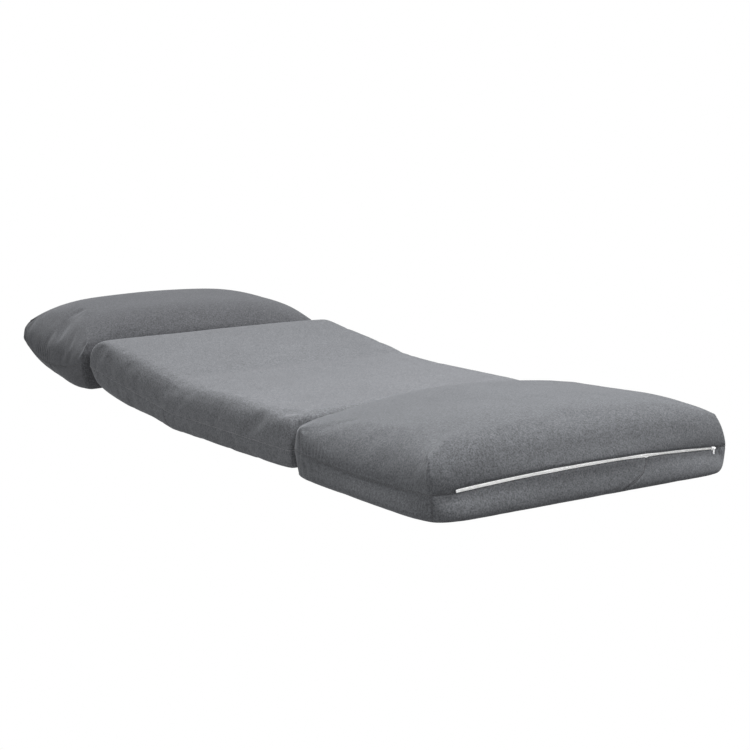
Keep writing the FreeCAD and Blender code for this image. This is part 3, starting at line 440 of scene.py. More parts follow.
class Cushion:
    """A skin after subdivision, in flat layout millimetres, with what is needed to sew on it."""

    def __init__(self, name, skin, points, levels, low_mm, high_mm, side_mm, place):
        self.low_mm, self.high_mm, self.side_mm, self.place = low_mm, high_mm, np.array(side_mm, float), place
        ob = new_object(name, points, skin.faces)
        e = skin.edge
        put_attributes(ob, fa=skin.a, fb=skin.b, fh=skin.h, fw=e.astype(float),
                       rc=np.where(e, np.cos(skin.s * math.pi / 2), 0), rs=np.where(e, np.sin(skin.s * math.pi / 2), 0))
        subdivided(ob, levels)
        self.a, self.b, self.h, w, rc, rs = take_attributes(ob, "fa", "fb", "fh", "fw", "rc", "rs")
        self.wall = w > 0.999
        self.s = (np.arctan2(rs, rc) / (math.pi / 2)) % 4
        self.s[self.s > 3.99999] = 0.0
        self.ob = ob
        self.p, self.n = coords(ob), normals(ob)

    def refresh(self):
        set_coords(self.ob, self.p)
        self.n = normals(self.ob)

    def from_seam(self):
        """Distance along the cloth from the mid seam, millimetres, negative below it."""
        return np.where(self.h < 1, (self.h - 1) * self.low_mm, (self.h - 1) * self.high_mm)

    def along(self):
        """Distance round the wall from the first corner, millimetres."""
        ends = np.concatenate([[0], np.cumsum(self.side_mm)])
        return np.interp(self.s, [0, 1, 2, 3, 4], ends)

    def from_corner(self, k):
        total = self.side_mm.sum()
        d = np.abs(self.along() - np.concatenate([[0], np.cumsum(self.side_mm)])[k])
        return np.minimum(d, total - d)

    def push(self, millimetres):
        """Moves the wall's cloth outwards, or inwards where negative."""
        self.p += self.n * (millimetres * self.wall)[:, None]

    def seam_valley(self, depth, width):
        self.push(-depth * np.exp(-(self.from_seam() / width) ** 2))

    def dart(self, k, h0, h1, depth, width):
        inside = smooth((self.h - h0) / 0.1 + 0.5) * smooth((h1 - self.h) / 0.1 + 0.5)
        self.push(-depth * np.exp(-(self.from_corner(k) / width) ** 2) * inside)

    def path_mm(self, path):
        ends = np.concatenate([[0], np.cumsum(self.side_mm)])
        out = []
        for s, h in path:
            out.append((np.interp(s, [0, 1, 2, 3, 4], ends), (h - 1) * (self.low_mm if h < 1 else self.high_mm)))
        return np.array(out)

    def crease(self, path, depth, width):
        """A shallow valley along a path of (s, h)."""
        q = self.path_mm(path)
        x = np.stack([self.along(), self.from_seam()], 1)
        best = np.full(len(x), 1e9)
        for A, B in zip(q[:-1], q[1:]):
            d = B - A
            t = np.clip(((x - A) @ d) / (d @ d), 0, 1)
            best = np.minimum(best, np.linalg.norm(x - (A + t[:, None] * d), axis=1))
        self.push(-depth * np.exp(-(best / width) ** 2))

    def ring(self, h=1.0, s0=0.0, span=4.0):
        """The wall's points at one height, in order round it, with outward directions."""
        m = np.nonzero(self.wall & (np.abs(self.h - h) < 1e-4))[0]
        at = (self.s[m] - s0) % 4
        m, at = m[at <= span + 1e-6], at[at <= span + 1e-6]
        m = m[np.argsort(at)]
        return self.p[m], self.n[m]

    def line(self, path, steps=20):
        """Points on the wall along a path of (s, h), with outward directions."""
        path = np.array(path, float)
        q = np.concatenate([np.linspace(path[i], path[i + 1], steps, endpoint=False) for i in range(len(path) - 1)] + [path[-1:]])
        q = self.path_mm(q)
        idx = np.nonzero(self.wall)[0]
        x = np.stack([self.along()[idx], self.from_seam()[idx]], 1)
        pts, outs = [], []
        for c in q:
            d = np.hypot(x[:, 0] - c[0], x[:, 1] - c[1])
            near = np.argpartition(d, 4)[:4]
            w = 1 / (d[near] + 0.15) ** 2
            w /= w.sum()
            pts.append((self.p[idx[near]] * w[:, None]).sum(0))
            outs.append((self.n[idx[near]] * w[:, None]).sum(0))
        pts, outs = np.array(pts), np.array(outs)
        for _ in range(3):
            pts[1:-1] = 0.25 * pts[:-2] + 0.5 * pts[1:-1] + 0.25 * pts[2:]
            outs[1:-1] = 0.25 * outs[:-2] + 0.5 * outs[1:-1] + 0.25 * outs[2:]
        return pts, outs / np.maximum(np.linalg.norm(outs, axis=1), 1e-12)[:, None]

    def sewn(self, line, lift):
        """A line lifted off the cloth and put in the frame, metres, with its directions."""
        pts, outs = line
        here = self.place(pts + outs * lift)
        there = self.place(pts + outs * (lift + 1.0))
        d = there - here
        return here, d / np.linalg.norm(d, axis=1)[:, None]

    def finish(self):
        set_coords(self.ob, self.place(self.p))


# ------------------------------------------------------------------ materials
def node_material(name):
    m = bpy.data.materials.new(name)
    m.use_nodes = True
    nt = m.node_tree
    nt.nodes.clear()
    out = nt.nodes.new("ShaderNodeOutputMaterial")
    bsdf = nt.nodes.new("ShaderNodeBsdfPrincipled")
    nt.links.new(bsdf.outputs[0], out.inputs[0])
    return m, nt, bsdf


def add(nt, kind, **kw):
    n = nt.nodes.new(kind)
    for k, v in kw.items():
        setattr(n, k, v)
    return n


def noise_at(nt, vector, scale, detail, rough=0.5, distortion=0.0):
    n = add(nt, "ShaderNodeTexNoise")
    n.inputs["Scale"].default_value = scale
    n.inputs["Detail"].default_value = detail
    n.inputs["Roughness"].default_value = rough
    n.inputs["Distortion"].default_value = distortion
    nt.links.new(vector, n.inputs["Vector"])
    return n.outputs["Fac"]


def ranged(nt, value, a, b, lo, hi):
    r = add(nt, "ShaderNodeMapRange")
    r.inputs["From Min"].default_value = a
    r.inputs["From Max"].default_value = b
    r.inputs["To Min"].default_value = lo
    r.inputs["To Max"].default_value = hi
    nt.links.new(value, r.inputs["Value"])
    return r.outputs[0]


def times(nt, a, b):
    m = add(nt, "ShaderNodeMath", operation="MULTIPLY")
    nt.links.new(a, m.inputs[0])
    nt.links.new(b, m.inputs[1])
    return m.outputs[0]


def tinted(nt, base, factor):
    s = add(nt, "ShaderNodeVectorMath", operation="SCALE")
    s.inputs[0].default_value = base
    nt.links.new(factor, s.inputs["Scale"])
    return s.outputs[0]


def bumped(nt, height, strength, distance, under=None):
    b = add(nt, "ShaderNodeBump")
    b.inputs["Strength"].default_value = strength
    b.inputs["Distance"].default_value = distance
    nt.links.new(height, b.inputs["Height"])
    if under is not None:
        nt.links.new(under, b.inputs["Normal"])
    return b.outputs[0]


def suede(name, base, fine_amount=0.50, clump_amount=0.16):
    """Brushed microfibre: a short mottled nap over a soft cloth, with larger brushed patches."""
    m, nt, bsdf = node_material(name)
    L = nt.links.new
    co = add(nt, "ShaderNodeTexCoord").outputs["Object"]
    fibre = noise_at(nt, co, 900.0, 2.0, 0.7)
    fine = noise_at(nt, co, 330.0, 3.0, 0.65)
    clump = noise_at(nt, co, 130.0, 3.0, 0.6, 0.4)
    patch = noise_at(nt, co, 6.0, 3.0, 0.5, 0.7)
    drag = noise_at(nt, co, 22.0, 2.0, 0.5, 1.2)
    f = times(nt, ranged(nt, fine, 0.3, 0.7, 1 - fine_amount, 1 + fine_amount), ranged(nt, clump, 0.3, 0.7, 1 - clump_amount, 1 + clump_amount))
    f = times(nt, f, ranged(nt, patch, 0.25, 0.75, 0.95, 1.05))
    f = times(nt, f, ranged(nt, drag, 0.25, 0.75, 0.975, 1.025))
    L(tinted(nt, base, f), bsdf.inputs["Base Color"])
    L(ranged(nt, clump, 0.3, 0.7, 0.82, 1.0), bsdf.inputs["Roughness"])
    bsdf.inputs["Specular IOR Level"].default_value = 0.15
    bsdf.inputs["Sheen Weight"].default_value = 0.18
    bsdf.inputs["Sheen Roughness"].default_value = 0.5
    bsdf.inputs["Sheen Tint"].default_value = (0.84, 0.86, 0.90, 1)
    n1 = bumped(nt, fibre, 0.25, 0.0004)
    n2 = bumped(nt, fine, 0.30, 0.0007, n1)
    n3 = bumped(nt, clump, 0.22, 0.0012, n2)
    L(n3, bsdf.inputs["Normal"])
    return m


def thread(name, base):
    """Sewing thread: twisted fine fibres."""
    m, nt, bsdf = node_material(name)
    L = nt.links.new
    co = add(nt, "ShaderNodeTexCoord").outputs["Object"]
    w = add(nt, "ShaderNodeTexWave", bands_direction="DIAGONAL")
    w.inputs["Scale"].default_value = 500.0
    w.inputs["Distortion"].default_value = 2.0
    L(co, w.inputs["Vector"])
    L(tinted(nt, base, ranged(nt, w.outputs["Fac"], 0.0, 1.0, 0.75, 1.15)), bsdf.inputs["Base Color"])
    L(ranged(nt, noise_at(nt, co, 300.0, 2.0), 0.3, 0.7, 0.65, 0.9), bsdf.inputs["Roughness"])
    bsdf.inputs["Sheen Weight"].default_value = 0.2
    L(bumped(nt, w.outputs["Fac"], 0.4, 0.0003), bsdf.inputs["Normal"])
    return m


def woven_white_painted_glow(name, base):
    """Fine white tape: a small twill, with a painted glow from a weak emission."""
    m, nt, bsdf = node_material(name)
    L = nt.links.new
    co = add(nt, "ShaderNodeTexCoord").outputs["Object"]
    w1 = add(nt, "ShaderNodeTexWave", bands_direction="DIAGONAL")
    w2 = add(nt, "ShaderNodeTexWave", bands_direction="Z")
    for w in (w1, w2):
        w.inputs["Scale"].default_value = 420.0
        L(co, w.inputs["Vector"])
    weave = times(nt, w1.outputs["Fac"], w2.outputs["Fac"])
    dust = ranged(nt, noise_at(nt, co, 60.0, 3.0), 0.3, 0.7, 0.97, 1.02)
    L(tinted(nt, base, times(nt, ranged(nt, weave, 0.0, 1.0, 0.90, 1.04), dust)), bsdf.inputs["Base Color"])
    bsdf.inputs["Roughness"].default_value = 0.6
    L(bumped(nt, weave, 0.35, 0.0003), bsdf.inputs["Normal"])
    # weak emission so the tape reads bright in shade: painted glow
    bsdf.inputs["Emission Color"].default_value = (1, 1, 1, 1)
    bsdf.inputs["Emission Strength"].default_value = 0.22
    return m


def enamel(name, base, metallic, rough, wear):
    """Metal or nylon with a thin finish, slightly uneven and rubbed."""
    m, nt, bsdf = node_material(name)
    L = nt.links.new
    co = add(nt, "ShaderNodeTexCoord").outputs["Object"]
    n = noise_at(nt, co, 90.0, 5.0)
    fine = noise_at(nt, co, 700.0, 2.0)
    L(tinted(nt, base, times(nt, ranged(nt, n, 0.3, 0.7, 1 - wear, 1 + wear), ranged(nt, fine, 0.3, 0.7, 0.98, 1.02))), bsdf.inputs["Base Color"])
    L(ranged(nt, n, 0.2, 0.8, max(rough - 0.12, 0.05), min(rough + 0.15, 1.0)), bsdf.inputs["Roughness"])
    bsdf.inputs["Metallic"].default_value = metallic
    L(bumped(nt, fine, 0.1, 0.0002, bumped(nt, n, 0.15, 0.0004)), bsdf.inputs["Normal"])
    return m


# one suede in three copies: the slab's is lighter (painted light), the foot's and the head's are darker (painted
# shade), standing in for how the light falls on each cushion
SUEDE_SLAB_PAINTED_LIGHT = suede("suede_slab_painted_light", (0.077, 0.079, 0.084))
SUEDE_FOOT_PAINTED_SHADE = suede("suede_foot_painted_shade", (0.057, 0.059, 0.063))
SUEDE_HEAD_PAINTED_SHADE = suede("suede_head_painted_shade", (0.052, 0.053, 0.057))
# the hinge strips' suede is darker still: painted shade in the joints between the cushions
SUEDE_JOINT_PAINTED_SHADE = suede("suede_joint_painted_shade", (0.045, 0.046, 0.050))
# near-black cords along seams, darts and band joins: painted shade standing in for the dark groove lines
THREAD_PAINTED_SHADE = thread("thread_painted_shade", (0.022, 0.022, 0.026))
# lighter thread for the slab's topstitches: real stitches, and their lighter grey is a painted highlight along the seam
# ridge
THREAD_GREY_PAINTED_HIGHLIGHT = thread("thread_grey_painted_highlight", (0.15, 0.15, 0.16))
TAPE_WHITE_PAINTED_GLOW = woven_white_painted_glow("zip_tape_white_painted_glow", (0.95, 0.95, 0.94))
COIL_WHITE = enamel("zip_coil_white", (0.97, 0.97, 0.96), 0.0, 0.35, 0.03)
ENAMEL_WHITE = enamel("zip_enamel_white", (0.90, 0.90, 0.90), 0.1, 0.3, 0.04)
STOP_GREY = enamel("zip_stop_grey", (0.09, 0.09, 0.095), 0.2, 0.45, 0.08)
FRAME_BLACK = enamel("frame_black", (0.03, 0.03, 0.032), 0.3, 0.45, 0.15)
STEEL = enamel("hinge_steel", (0.52, 0.52, 0.53), 1.0, 0.35, 0.12)
BRIGHT = enamel("bright_steel", (0.62, 0.62, 0.63), 1.0, 0.25, 0.06)


def give(ob, material):
    ob.data.materials.clear()
    ob.data.materials.append(material)


# ------------------------------------------------------------------ the zip's arc
ZIP_C = np.array([0.0, 1.01811, -2.300847])
ZIP_K = np.array([0.0, 0.779282, 0.626673])
ZIP_FROM, ZIP_TO = -5.533, 6.123


def zip_point(deg, dy=0.0, dz=0.0):
    """Points along the zip's arc; dy and dz are millimetres from its line, frame metres out."""
    deg, dy, dz = np.broadcast_arrays(np.asarray(deg, float), dy, dz)
    r = np.stack([np.zeros(deg.shape), -0.8796 + dy * MM, 0.059 + dz * MM], -1) - ZIP_C
    a = np.radians(deg)[..., None]
    return ZIP_C + r * np.cos(a) + np.cross(ZIP_K, r) * np.sin(a) + ZIP_K * (r @ ZIP_K)[..., None] * (1 - np.cos(a))


# ------------------------------------------------------------------ foot cushion
FK = (0, 0.12, 0.35, 0.7, 1, 1.2, 1.5, 1.8, 2)
foot_A = ((-335, -341, -344, -343, -343, -344, -343, -340, -336), (1, -4, -6, -3, -1, 0, 5, 12, 19), (0, 3, 12, 29, 47, 57, 77, 96, 104))
foot_B = ((337, 343, 348, 353, 357, 357, 354, 348, 343), (0, -4, -5, -3, -2, 0, 5, 11, 16), (0, 3, 12, 29, 47, 57, 78, 97, 106))
foot_D = ((-326, -331, -336, -339, -341, -341, -340, -338, -335), (426, 420, 412, 404, 398, 398, 401, 406, 411), (0, 3, 12, 29, 48, 57, 74, 91, 99))
foot_C = ((330, 336, 342, 347, 350, 350, 348, 344, 339), (426, 420, 412, 404, 398, 398, 401, 406, 411), (0, 3, 12, 29, 48, 57, 74, 91, 99))
foot_left = ((18, 18, 13, 4, -1, 1, -4, -19, -40), (8, 8, 8, 5, 2, 3, 4, 4, 4),
             (0, 0, -1, -4, -7, -2, 3, 10, 17), (4, 4, 4, 2, 2, 2, 3, 3, 3))
foot_right = ((10, 9, 6, 0, -6, -3, -6, -18, -34), (8, 8, 8, 5, 2, 3, 4, 4, 4),
              (0, 0, -1, -4, -7, -2, 4, 13, 22), (4, 4, 4, 2, 2, 2, 4, 5, 5))
foot_sides = {
    "front": ((27, 27, 22, 13, 10, 11, 9, 1, -11), (20, 16, 14, 10, 2, 3, 6, 6, 6),
              (0, 0, 2, 8, 12.5, 14, 20, 24, 25), (6, 6, 6, 3, 2, 2.5, 4, 5, 5)),
    "left": foot_left,
    "right": foot_right,
    "back": ((32, 40, 49, 57, 62, 62, 60, 52, 38), (10, 14, 20, 26, 29, 29, 24, 20, 12),
             (0, 0, 0, 0, 0, 2, 4, 12, 26), (2, 2, 2, 2, 2, 2, 1.5, 1.5, 1.5)),
}
foot_skin = Skin(60, 42)
foot_p = foot_skin.place(FK, {"A": foot_A, "B": foot_B, "C": foot_C, "D": foot_D}, foot_sides,
                         dome=lambda a, b: -2.0 * (1 - a ** 2) * (1 - b ** 2))
# the top falls away towards the near joint corner
foot_p[:, 2] -= 12.0 * hump(foot_p[:, 0], -320, 150) * smooth((foot_p[:, 1] - 170) / 230) * smooth((foot_p[:, 2] - 80) / 35)
foot_p, foot_pins = soften(foot_skin, foot_p, 8)
foot_full = inflate("foot", foot_skin, foot_p, foot_pins, 4.0, 14, 7.0, 0.010, 2.0)
keep = 0.12 + 0.43 * smooth((foot_skin.h - 1.0) / 0.6)
keep *= 1 - 0.6 * smooth((foot_p[:, 0] - 60) / 200) * smooth((foot_p[:, 2] - 80) / 30)
foot_p = foot_p + (foot_full - foot_p) * keep[:, None]

foot = Cushion("foot_cushion_skin", foot_skin, foot_p, 2, 55.0, 66.0, (689, 402, 680, 402), to_frame)


def zip_line_y(x):
    return -11.6 + x ** 2 * 1.035e-4


def zip_line_z(x):
    return 59.0 - x ** 2 * 1.287e-4


def shape_foot(c):
    # the zip end follows the zip: a slit with two soft lips, closed past both ends
    x, d = c.p[:, 0], c.from_seam()
    front = c.wall & ((c.s <= 1.0) | (c.s >= 4.0))
    reach = smooth((x + 338) / 30) * smooth((341 - x) / 12)
    w = np.where(front, np.exp(-(d / 15.0) ** 2) * reach, 0.0)
    slit = smooth((x + 300) / 12) * smooth((329 - x) / 7)
    wobble = noise3(np.stack([x, 0 * x, 0 * x], 1), 45.0, 11)
    half = np.interp(x, [-292, -150, 60, 320], [3.1, 2.9, 2.6, 2.1]) * (1 + 0.10 * wobble) / 0.645
    y = zip_line_y(x) - 1.4 + slit * 3.4 - (1.2 + 3.8 * slit) * (1 - np.exp(-(d / half) ** 2))
    z = zip_line_z(x) + d * 0.98
    c.p[:, 1] += w * (y - c.p[:, 1])
    c.p[:, 2] += w * (z - c.p[:, 2])
    c.refresh()
    # mid seam round the other sides, corner darts
    away = np.where(front, 1 - reach, 1.0)
    c.push(-1.5 * np.exp(-(d / 2.3) ** 2) * away)
    c.refresh()
    for k in range(4):
        c.dart(k, 1.0, 1.93, 2.6, 3.0)
        c.dart(k, 0.05, 1.0, 1.8, 2.6)
    c.crease(FOOT_JOIN, 1.9, 2.2)
    c.crease(FOOT_JOIN_2, 0.6, 2.4)
    c.refresh()
    # pucker beside each dart's top
    for k, side in ((0, -1), (1, 1), (2, -1), (3, 1)):
        total = c.side_mm.sum()
        corner = np.concatenate([[0], np.cumsum(c.side_mm)])[k]
        u = (c.along() - corner + total / 2) % total - total / 2
        c.push(-2.6 * np.exp(-((u - side * 11) / 8.0) ** 2 - ((d - 58) / 9.0) ** 2))
    c.refresh()
    # gathers above the seam by the joint, soft drags below it
    u = c.along() - (c.side_mm[0] + c.side_mm[1] + c.side_mm[2])   # from corner D towards A
    warp = 2.2 * noise3(c.p, 22.0, 7)
    for sgn, uu in ((1, u), (-1, c.side_mm[0] + c.side_mm[1] - c.along())):
        body = smooth((uu - 6) / 14) * smooth((112 - uu) / 60)
        up = np.where(d > 0, np.exp(-(np.maximum(d - 4, 0) / 22.0) ** 2) * smooth(d / 5.0), 0.0)
        c.push(0.95 * body * up * np.cos(2 * math.pi * (uu + warp + 0.10 * d) / 10.5))
        down = np.where(d < 0, smooth(-d / 8.0) * smooth((d + 52) / 14.0), 0.0)
        body = smooth((uu - 4) / 20) * smooth((150 - uu) / 90)
        c.push(0.8 * body * down * np.cos(2 * math.pi * (uu + 0.9 * d + 2 * warp) / 27.0))
    c.push(0.9 * noise3(c.p, 62.0, 5) * np.exp(-((np.abs(d) - 30) / 26.0) ** 2))
    c.p[:, 2] += 1.3 * noise3(c.p, 120.0, 9) * smooth((c.p[:, 2] - 85) / 25)
    c.p[:, 1] = press(c.p[:, 1], 463.3, 4.0)
    c.p[:, 2] = press(c.p[:, 2], 0.2, 1.5, upper=False)
    c.refresh()


FOOT_JOIN = [(0.688, 0.98), (0.684, 0.80), (0.669, 0.58), (0.638, 0.34), (0.598, 0.10)]
FOOT_JOIN_2 = [(0.664, 0.86), (0.655, 0.70), (0.635, 0.50), (0.600, 0.30), (0.565, 0.12)]
shape_foot(foot)

# ------------------------------------------------------------------ head cushion
HK = (0, 0.35, 1, 1.5, 2)
head_A = ((-300, -320, -334, -333, -324), (1366, 1354, 1348, 1347, 1352), (-4, 14, 69, 94, 112))
head_D = ((-272, -298, -320, -318, -310), (1660, 1698, 1728, 1729, 1708), (-4, 9, 38, 66, 88))
head_side = ((24, 16, 4, 4, -24), (6, 5, 3, 4, 4), (-4, -12, -33, -6, 37), (3, 3, 2, 3, 3))
head_sides = {
    "left": head_side,
    "right": head_side,
    "front": ((10, 6, 3, 3, -2), (10, 12, 14, 14, 8), (8, 6, -8, 4, 14), (4, 4, 4, 3, 3)),
    "back": ((26, 22, 9, 9, -10), (6, 7, 8, 8, 5), (0, -2, -3, 10, 36), (2, 2, 2, 4, 4)),
}
head_skin = Skin(60, 40)
head_p = head_skin.place(HK, {"A": head_A, "B": mirrored(head_A), "C": mirrored(head_D), "D": head_D}, head_sides,
                         dome=lambda a, b: 8.0 * (1 - a ** 2) * (1 - b ** 2) + 7.0 * (1 - a ** 4) * np.exp(-((b + 0.62) / 0.3) ** 2),
                         belly=lambda a, b: -4.0 * (1 - a ** 4) * (1 - b ** 4))
head_p, head_pins = soften(head_skin, head_p, 8)
head_full = inflate("head", head_skin, head_p, head_pins, 4.0, 14, 7.0, 0.010, 2.0)
keep = 0.2 + 0.08 * smooth((head_skin.h - 0.9) / 0.6) + 0.52 * smooth((-120 - head_p[:, 0]) / 160) * smooth((head_skin.h - 0.9) / 0.6)
head_p = head_p + (head_full - head_p) * keep[:, None]


def place_head(p):
    q = np.array(p, float)
    q[:, 2] -= 26.0
    return to_frame(raise_back(q))


head = Cushion("head_cushion_skin", head_skin, head_p, 2, 62.0, 66.0, (668, 381, 644, 381), place_head)
HEAD_JOIN = [(3.510, 0.98), (3.516, 0.60), (3.530, 0.20)]


def shape_head(c):
    d = c.from_seam()
    c.seam_valley(1.5, 2.3)
    c.refresh()
    for k in range(4):
        c.dart(k, 1.0, 1.95, 2.4, 3.0)
        c.dart(k, 0.05, 1.0, 1.6, 2.6)
    c.crease(HEAD_JOIN, 1.4, 2.4)
    c.refresh()
    total = c.side_mm.sum()
    for k, side in ((0, -1), (1, 1), (2, -1), (3, 1)):
        corner = np.concatenate([[0], np.cumsum(c.side_mm)])[k]
        u = (c.along() - corner + total / 2) % total - total / 2
        c.push(-2.2 * np.exp(-((u - side * 11) / 8.0) ** 2 - ((d - 58) / 9.0) ** 2))
    c.refresh()
    warp = 2.0 * noise3(c.p, 22.0, 17)
    first = c.side_mm[:3].sum()
    for uu in (c.along() - first, c.side_mm[0] + c.side_mm[1] - c.along()):
        up = np.where(d > 0, np.exp(-(np.maximum(d - 3, 0) / 17.0) ** 2) * smooth(d / 4.0), 0.0)
        body = smooth((uu - 95) / 25) * smooth((205 - uu) / 30)
        c.push(1.0 * body * up * np.cos(2 * math.pi * (uu + warp) / 11.5))
        body = smooth((uu - 4) / 12) * smooth((80 - uu) / 50)
        c.push(0.7 * body * up * np.cos(2 * math.pi * (uu + warp) / 9.0))
    c.push(0.9 * noise3(c.p, 60.0, 15) * np.exp(-((np.abs(d) - 30) / 26.0) ** 2))
    c.p[:, 2] += 1.2 * noise3(c.p, 120.0, 19) * smooth((c.p[:, 2] - 85) / 25)
    c.p[:, 1] = press(c.p[:, 1], 1345.0, 3.0, upper=False)
    c.refresh()


shape_head(head)

# ------------------------------------------------------------------ slab
SK = (0, 0.35, 1, 1.5, 1.8, 2)
slab_A = ((-308, -316, -320, -320, -317, -309), (476, 469, 466, 466, 470, 480), (0, 9, 37, 64, 89, 101))
slab_D = ((-300, -314, -320, -320, -317, -310), (1288, 1316, 1339, 1342, 1326, 1299), (0, 12, 37, 64, 90, 103))
slab_sides = {
    "left": ((10, 4, 1, 1, 1, 2), (14, 14, 14, 14, 14, 14), (0, 0, 0, 0, 0, 1), (4, 4, 4, 4, 4, 4)),
    "right": ((10, 4, 1, 1, 1, 2), (14, 14, 14, 14, 14, 14), (0, 0, 0, 0, 0, 1), (4, 4, 4, 4, 4, 4)),
    "front": ((9, 4, 1, 1, 4, 11), (14, 14, 14, 14, 14, 14), (0, 0, 0, 0, 0, 1), (4, 4, 4, 4, 4, 4)),
    "back": ((8, 4, 1, 1, 2, 4), (14, 14, 14, 14, 14, 14), (0, 0, 0, 0, 0, 1), (4, 4, 4, 4, 4, 4)),
}
u = np.linspace(-1, 1, 101)
slab_ys = 1.12 * u - 0.12 * u ** 3
slab_skin = Skin(66, 0, ys=slab_ys)
slab_p = slab_skin.place(SK, {"A": slab_A, "B": mirrored(slab_A), "C": mirrored(slab_D), "D": slab_D}, slab_sides,
                         dome=lambda a, b: 5.0 * (1 - a ** 4) * (1 - b ** 8))
# the back half is a little fuller on top, more so on the far side
slab_full = smooth((slab_p[:, 1] - 780) / 260) * smooth((slab_p[:, 2] - 62) / 40)
slab_p[:, 2] += slab_full * (3.0 + 5.0 * smooth((slab_p[:, 0] + 250) / 500))
slab_p, slab_pins = soften(slab_skin, slab_p, 4, dart=0.8, dart_low=0.8, floor_ab=(0.93, 0.96))
slab_p = inflate("slab", slab_skin, slab_p, slab_pins, 2.0, 10, 3.0, 0.004, 4.0)


def slab_turn(y):
    return smooth((y - (BEND[0] - 48)) / 96)


def place_slab(p):
    return to_frame(raise_back(p, slab_turn(p[:, 1])))


slab = Cushion("slab_cushion_skin", slab_skin, slab_p, 1, 44.0, 72.0, (640, 873, 638, 873), place_slab)
SLAB_JOIN = [(3.424, 0.97), (3.421, 0.60), (3.427, 0.15)]
SLAB_JOIN_2 = [(1.576, 0.97), (1.579, 0.60), (1.573, 0.15)]


def shape_slab(c):
    d = c.from_seam()
    c.seam_valley(0.9, 2.2)
    c.crease(SLAB_JOIN, 1.2, 2.4)
    c.crease(SLAB_JOIN_2, 1.2, 2.4)
    c.refresh()
    # the near edge slumps a little where the slab bends
    y, z = c.p[:, 1], c.p[:, 2]
    edge = np.abs(c.p[:, 0]) / 320.0
    c.p[:, 2] -= smooth((z - 70) / 28) * hump(y, 905, 75) * 5.0 * smooth((edge - 0.86) / 0.12) * (c.p[:, 0] < 0)
    # drags from the bend down the side
    side = c.wall & (np.abs(c.p[:, 0]) > 300)
    c.push(np.where(side, 0.55 * hump(y, 905, 70) * np.cos(2 * math.pi * (y + 0.25 * d) / 31.0) * smooth((60 - np.abs(d)) / 40), 0.0))
    c.push(0.5 * noise3(c.p, 55.0, 25))
    c.p[:, 2] += 0.7 * noise3(c.p, 140.0, 29) * smooth((z - 92) / 8)
    c.p[:, 1] = press(c.p[:, 1], 464.7, 2.0, upper=False)
    c.p[:, 1] = press(c.p[:, 1], 1343.0, 3.0)
    c.p[:, 2] = press(c.p[:, 2], 0.2, 1.0, upper=False)
    # the raised half's underside sags a little
    c.p[:, 2] -= 8.0 * smooth((c.p[:, 1] - 1000) / 170) * smooth((34 - c.p[:, 2]) / 32)
    c.refresh()


shape_slab(slab)

# ------------------------------------------------------------------ seams: near-black cords of painted shade in the seam grooves, lighter stitches of painted highlight on the slab
sewn = {"foot": [], "head": [], "slab": []}


# lays a near-black cord along a seam groove: painted shade
def shade_cord_line(which, name, cushion, line, radius, lift, material=THREAD_PAINTED_SHADE):
    pts, out = cushion.sewn(line, lift)
    pts, out = spaced(pts, out, 0.004)
    ob = cord_of(name, pts, radius * MM)
    give(ob, material)
    sewn[which].append(ob)


def stitched(which, name, cushion, line, length, gap, radius, lift, material, closed=False):
    pts, out = cushion.sewn(line, lift)
    ob = stitch_row(name, pts, out, length * MM, gap * MM, radius * MM, closed)
    give(ob, material)
    sewn[which].append(ob)


shade_cord_line("foot", "foot_seam_painted_shade_cord", foot, foot.ring(1.0, 0.966, 3.110), 0.6, 0.15)
for k in range(4):
    shade_cord_line("foot", "foot_corner_thread_%d" % (k + 1), foot, foot.line([(k, 1.02), (k, 1.92)]), 0.6, 0.15)
    shade_cord_line("foot", "foot_band_thread_%d" % (k + 1), foot, foot.line([(k, 0.98), (k, 0.10)]), 0.55, 0.15)
shade_cord_line("foot", "foot_band_join_painted_shade_cord", foot, foot.line(FOOT_JOIN), 0.85, 0.3)
shade_cord_line("head", "head_seam_painted_shade_cord", head, head.ring(1.0, 0.0, 3.999), 0.6, 0.15)
for k in range(4):
    shade_cord_line("head", "head_corner_thread_%d" % (k + 1), head, head.line([(k, 1.02), (k, 1.93)]), 0.6, 0.15)
    shade_cord_line("head", "head_band_thread_%d" % (k + 1), head, head.line([(k, 0.98), (k, 0.10)]), 0.55, 0.15)
shade_cord_line("head", "head_band_join_painted_shade_cord", head, head.line(HEAD_JOIN), 0.6, 0.2)
# topstitches in lighter thread: real stitches with a painted highlight in their colour
stitched("slab", "slab_seam_stitches_painted_highlight", slab, slab.ring(1.0, 0.0, 3.999), 3.6, 1.2, 0.55, 0.15, THREAD_GREY_PAINTED_HIGHLIGHT, closed=True)
shade_cord_line("slab", "slab_band_join_painted_shade_cord_near", slab, slab.line(SLAB_JOIN), 0.6, 0.2)
shade_cord_line("slab", "slab_band_join_painted_shade_cord_far", slab, slab.line(SLAB_JOIN_2), 0.6, 0.2)

for c in (foot, head, slab):
    c.finish()
# each cushion gets its lit or shaded copy of the suede: painted light and shade
give(foot.ob, SUEDE_FOOT_PAINTED_SHADE)
give(head.ob, SUEDE_HEAD_PAINTED_SHADE)
give(slab.ob, SUEDE_SLAB_PAINTED_LIGHT)


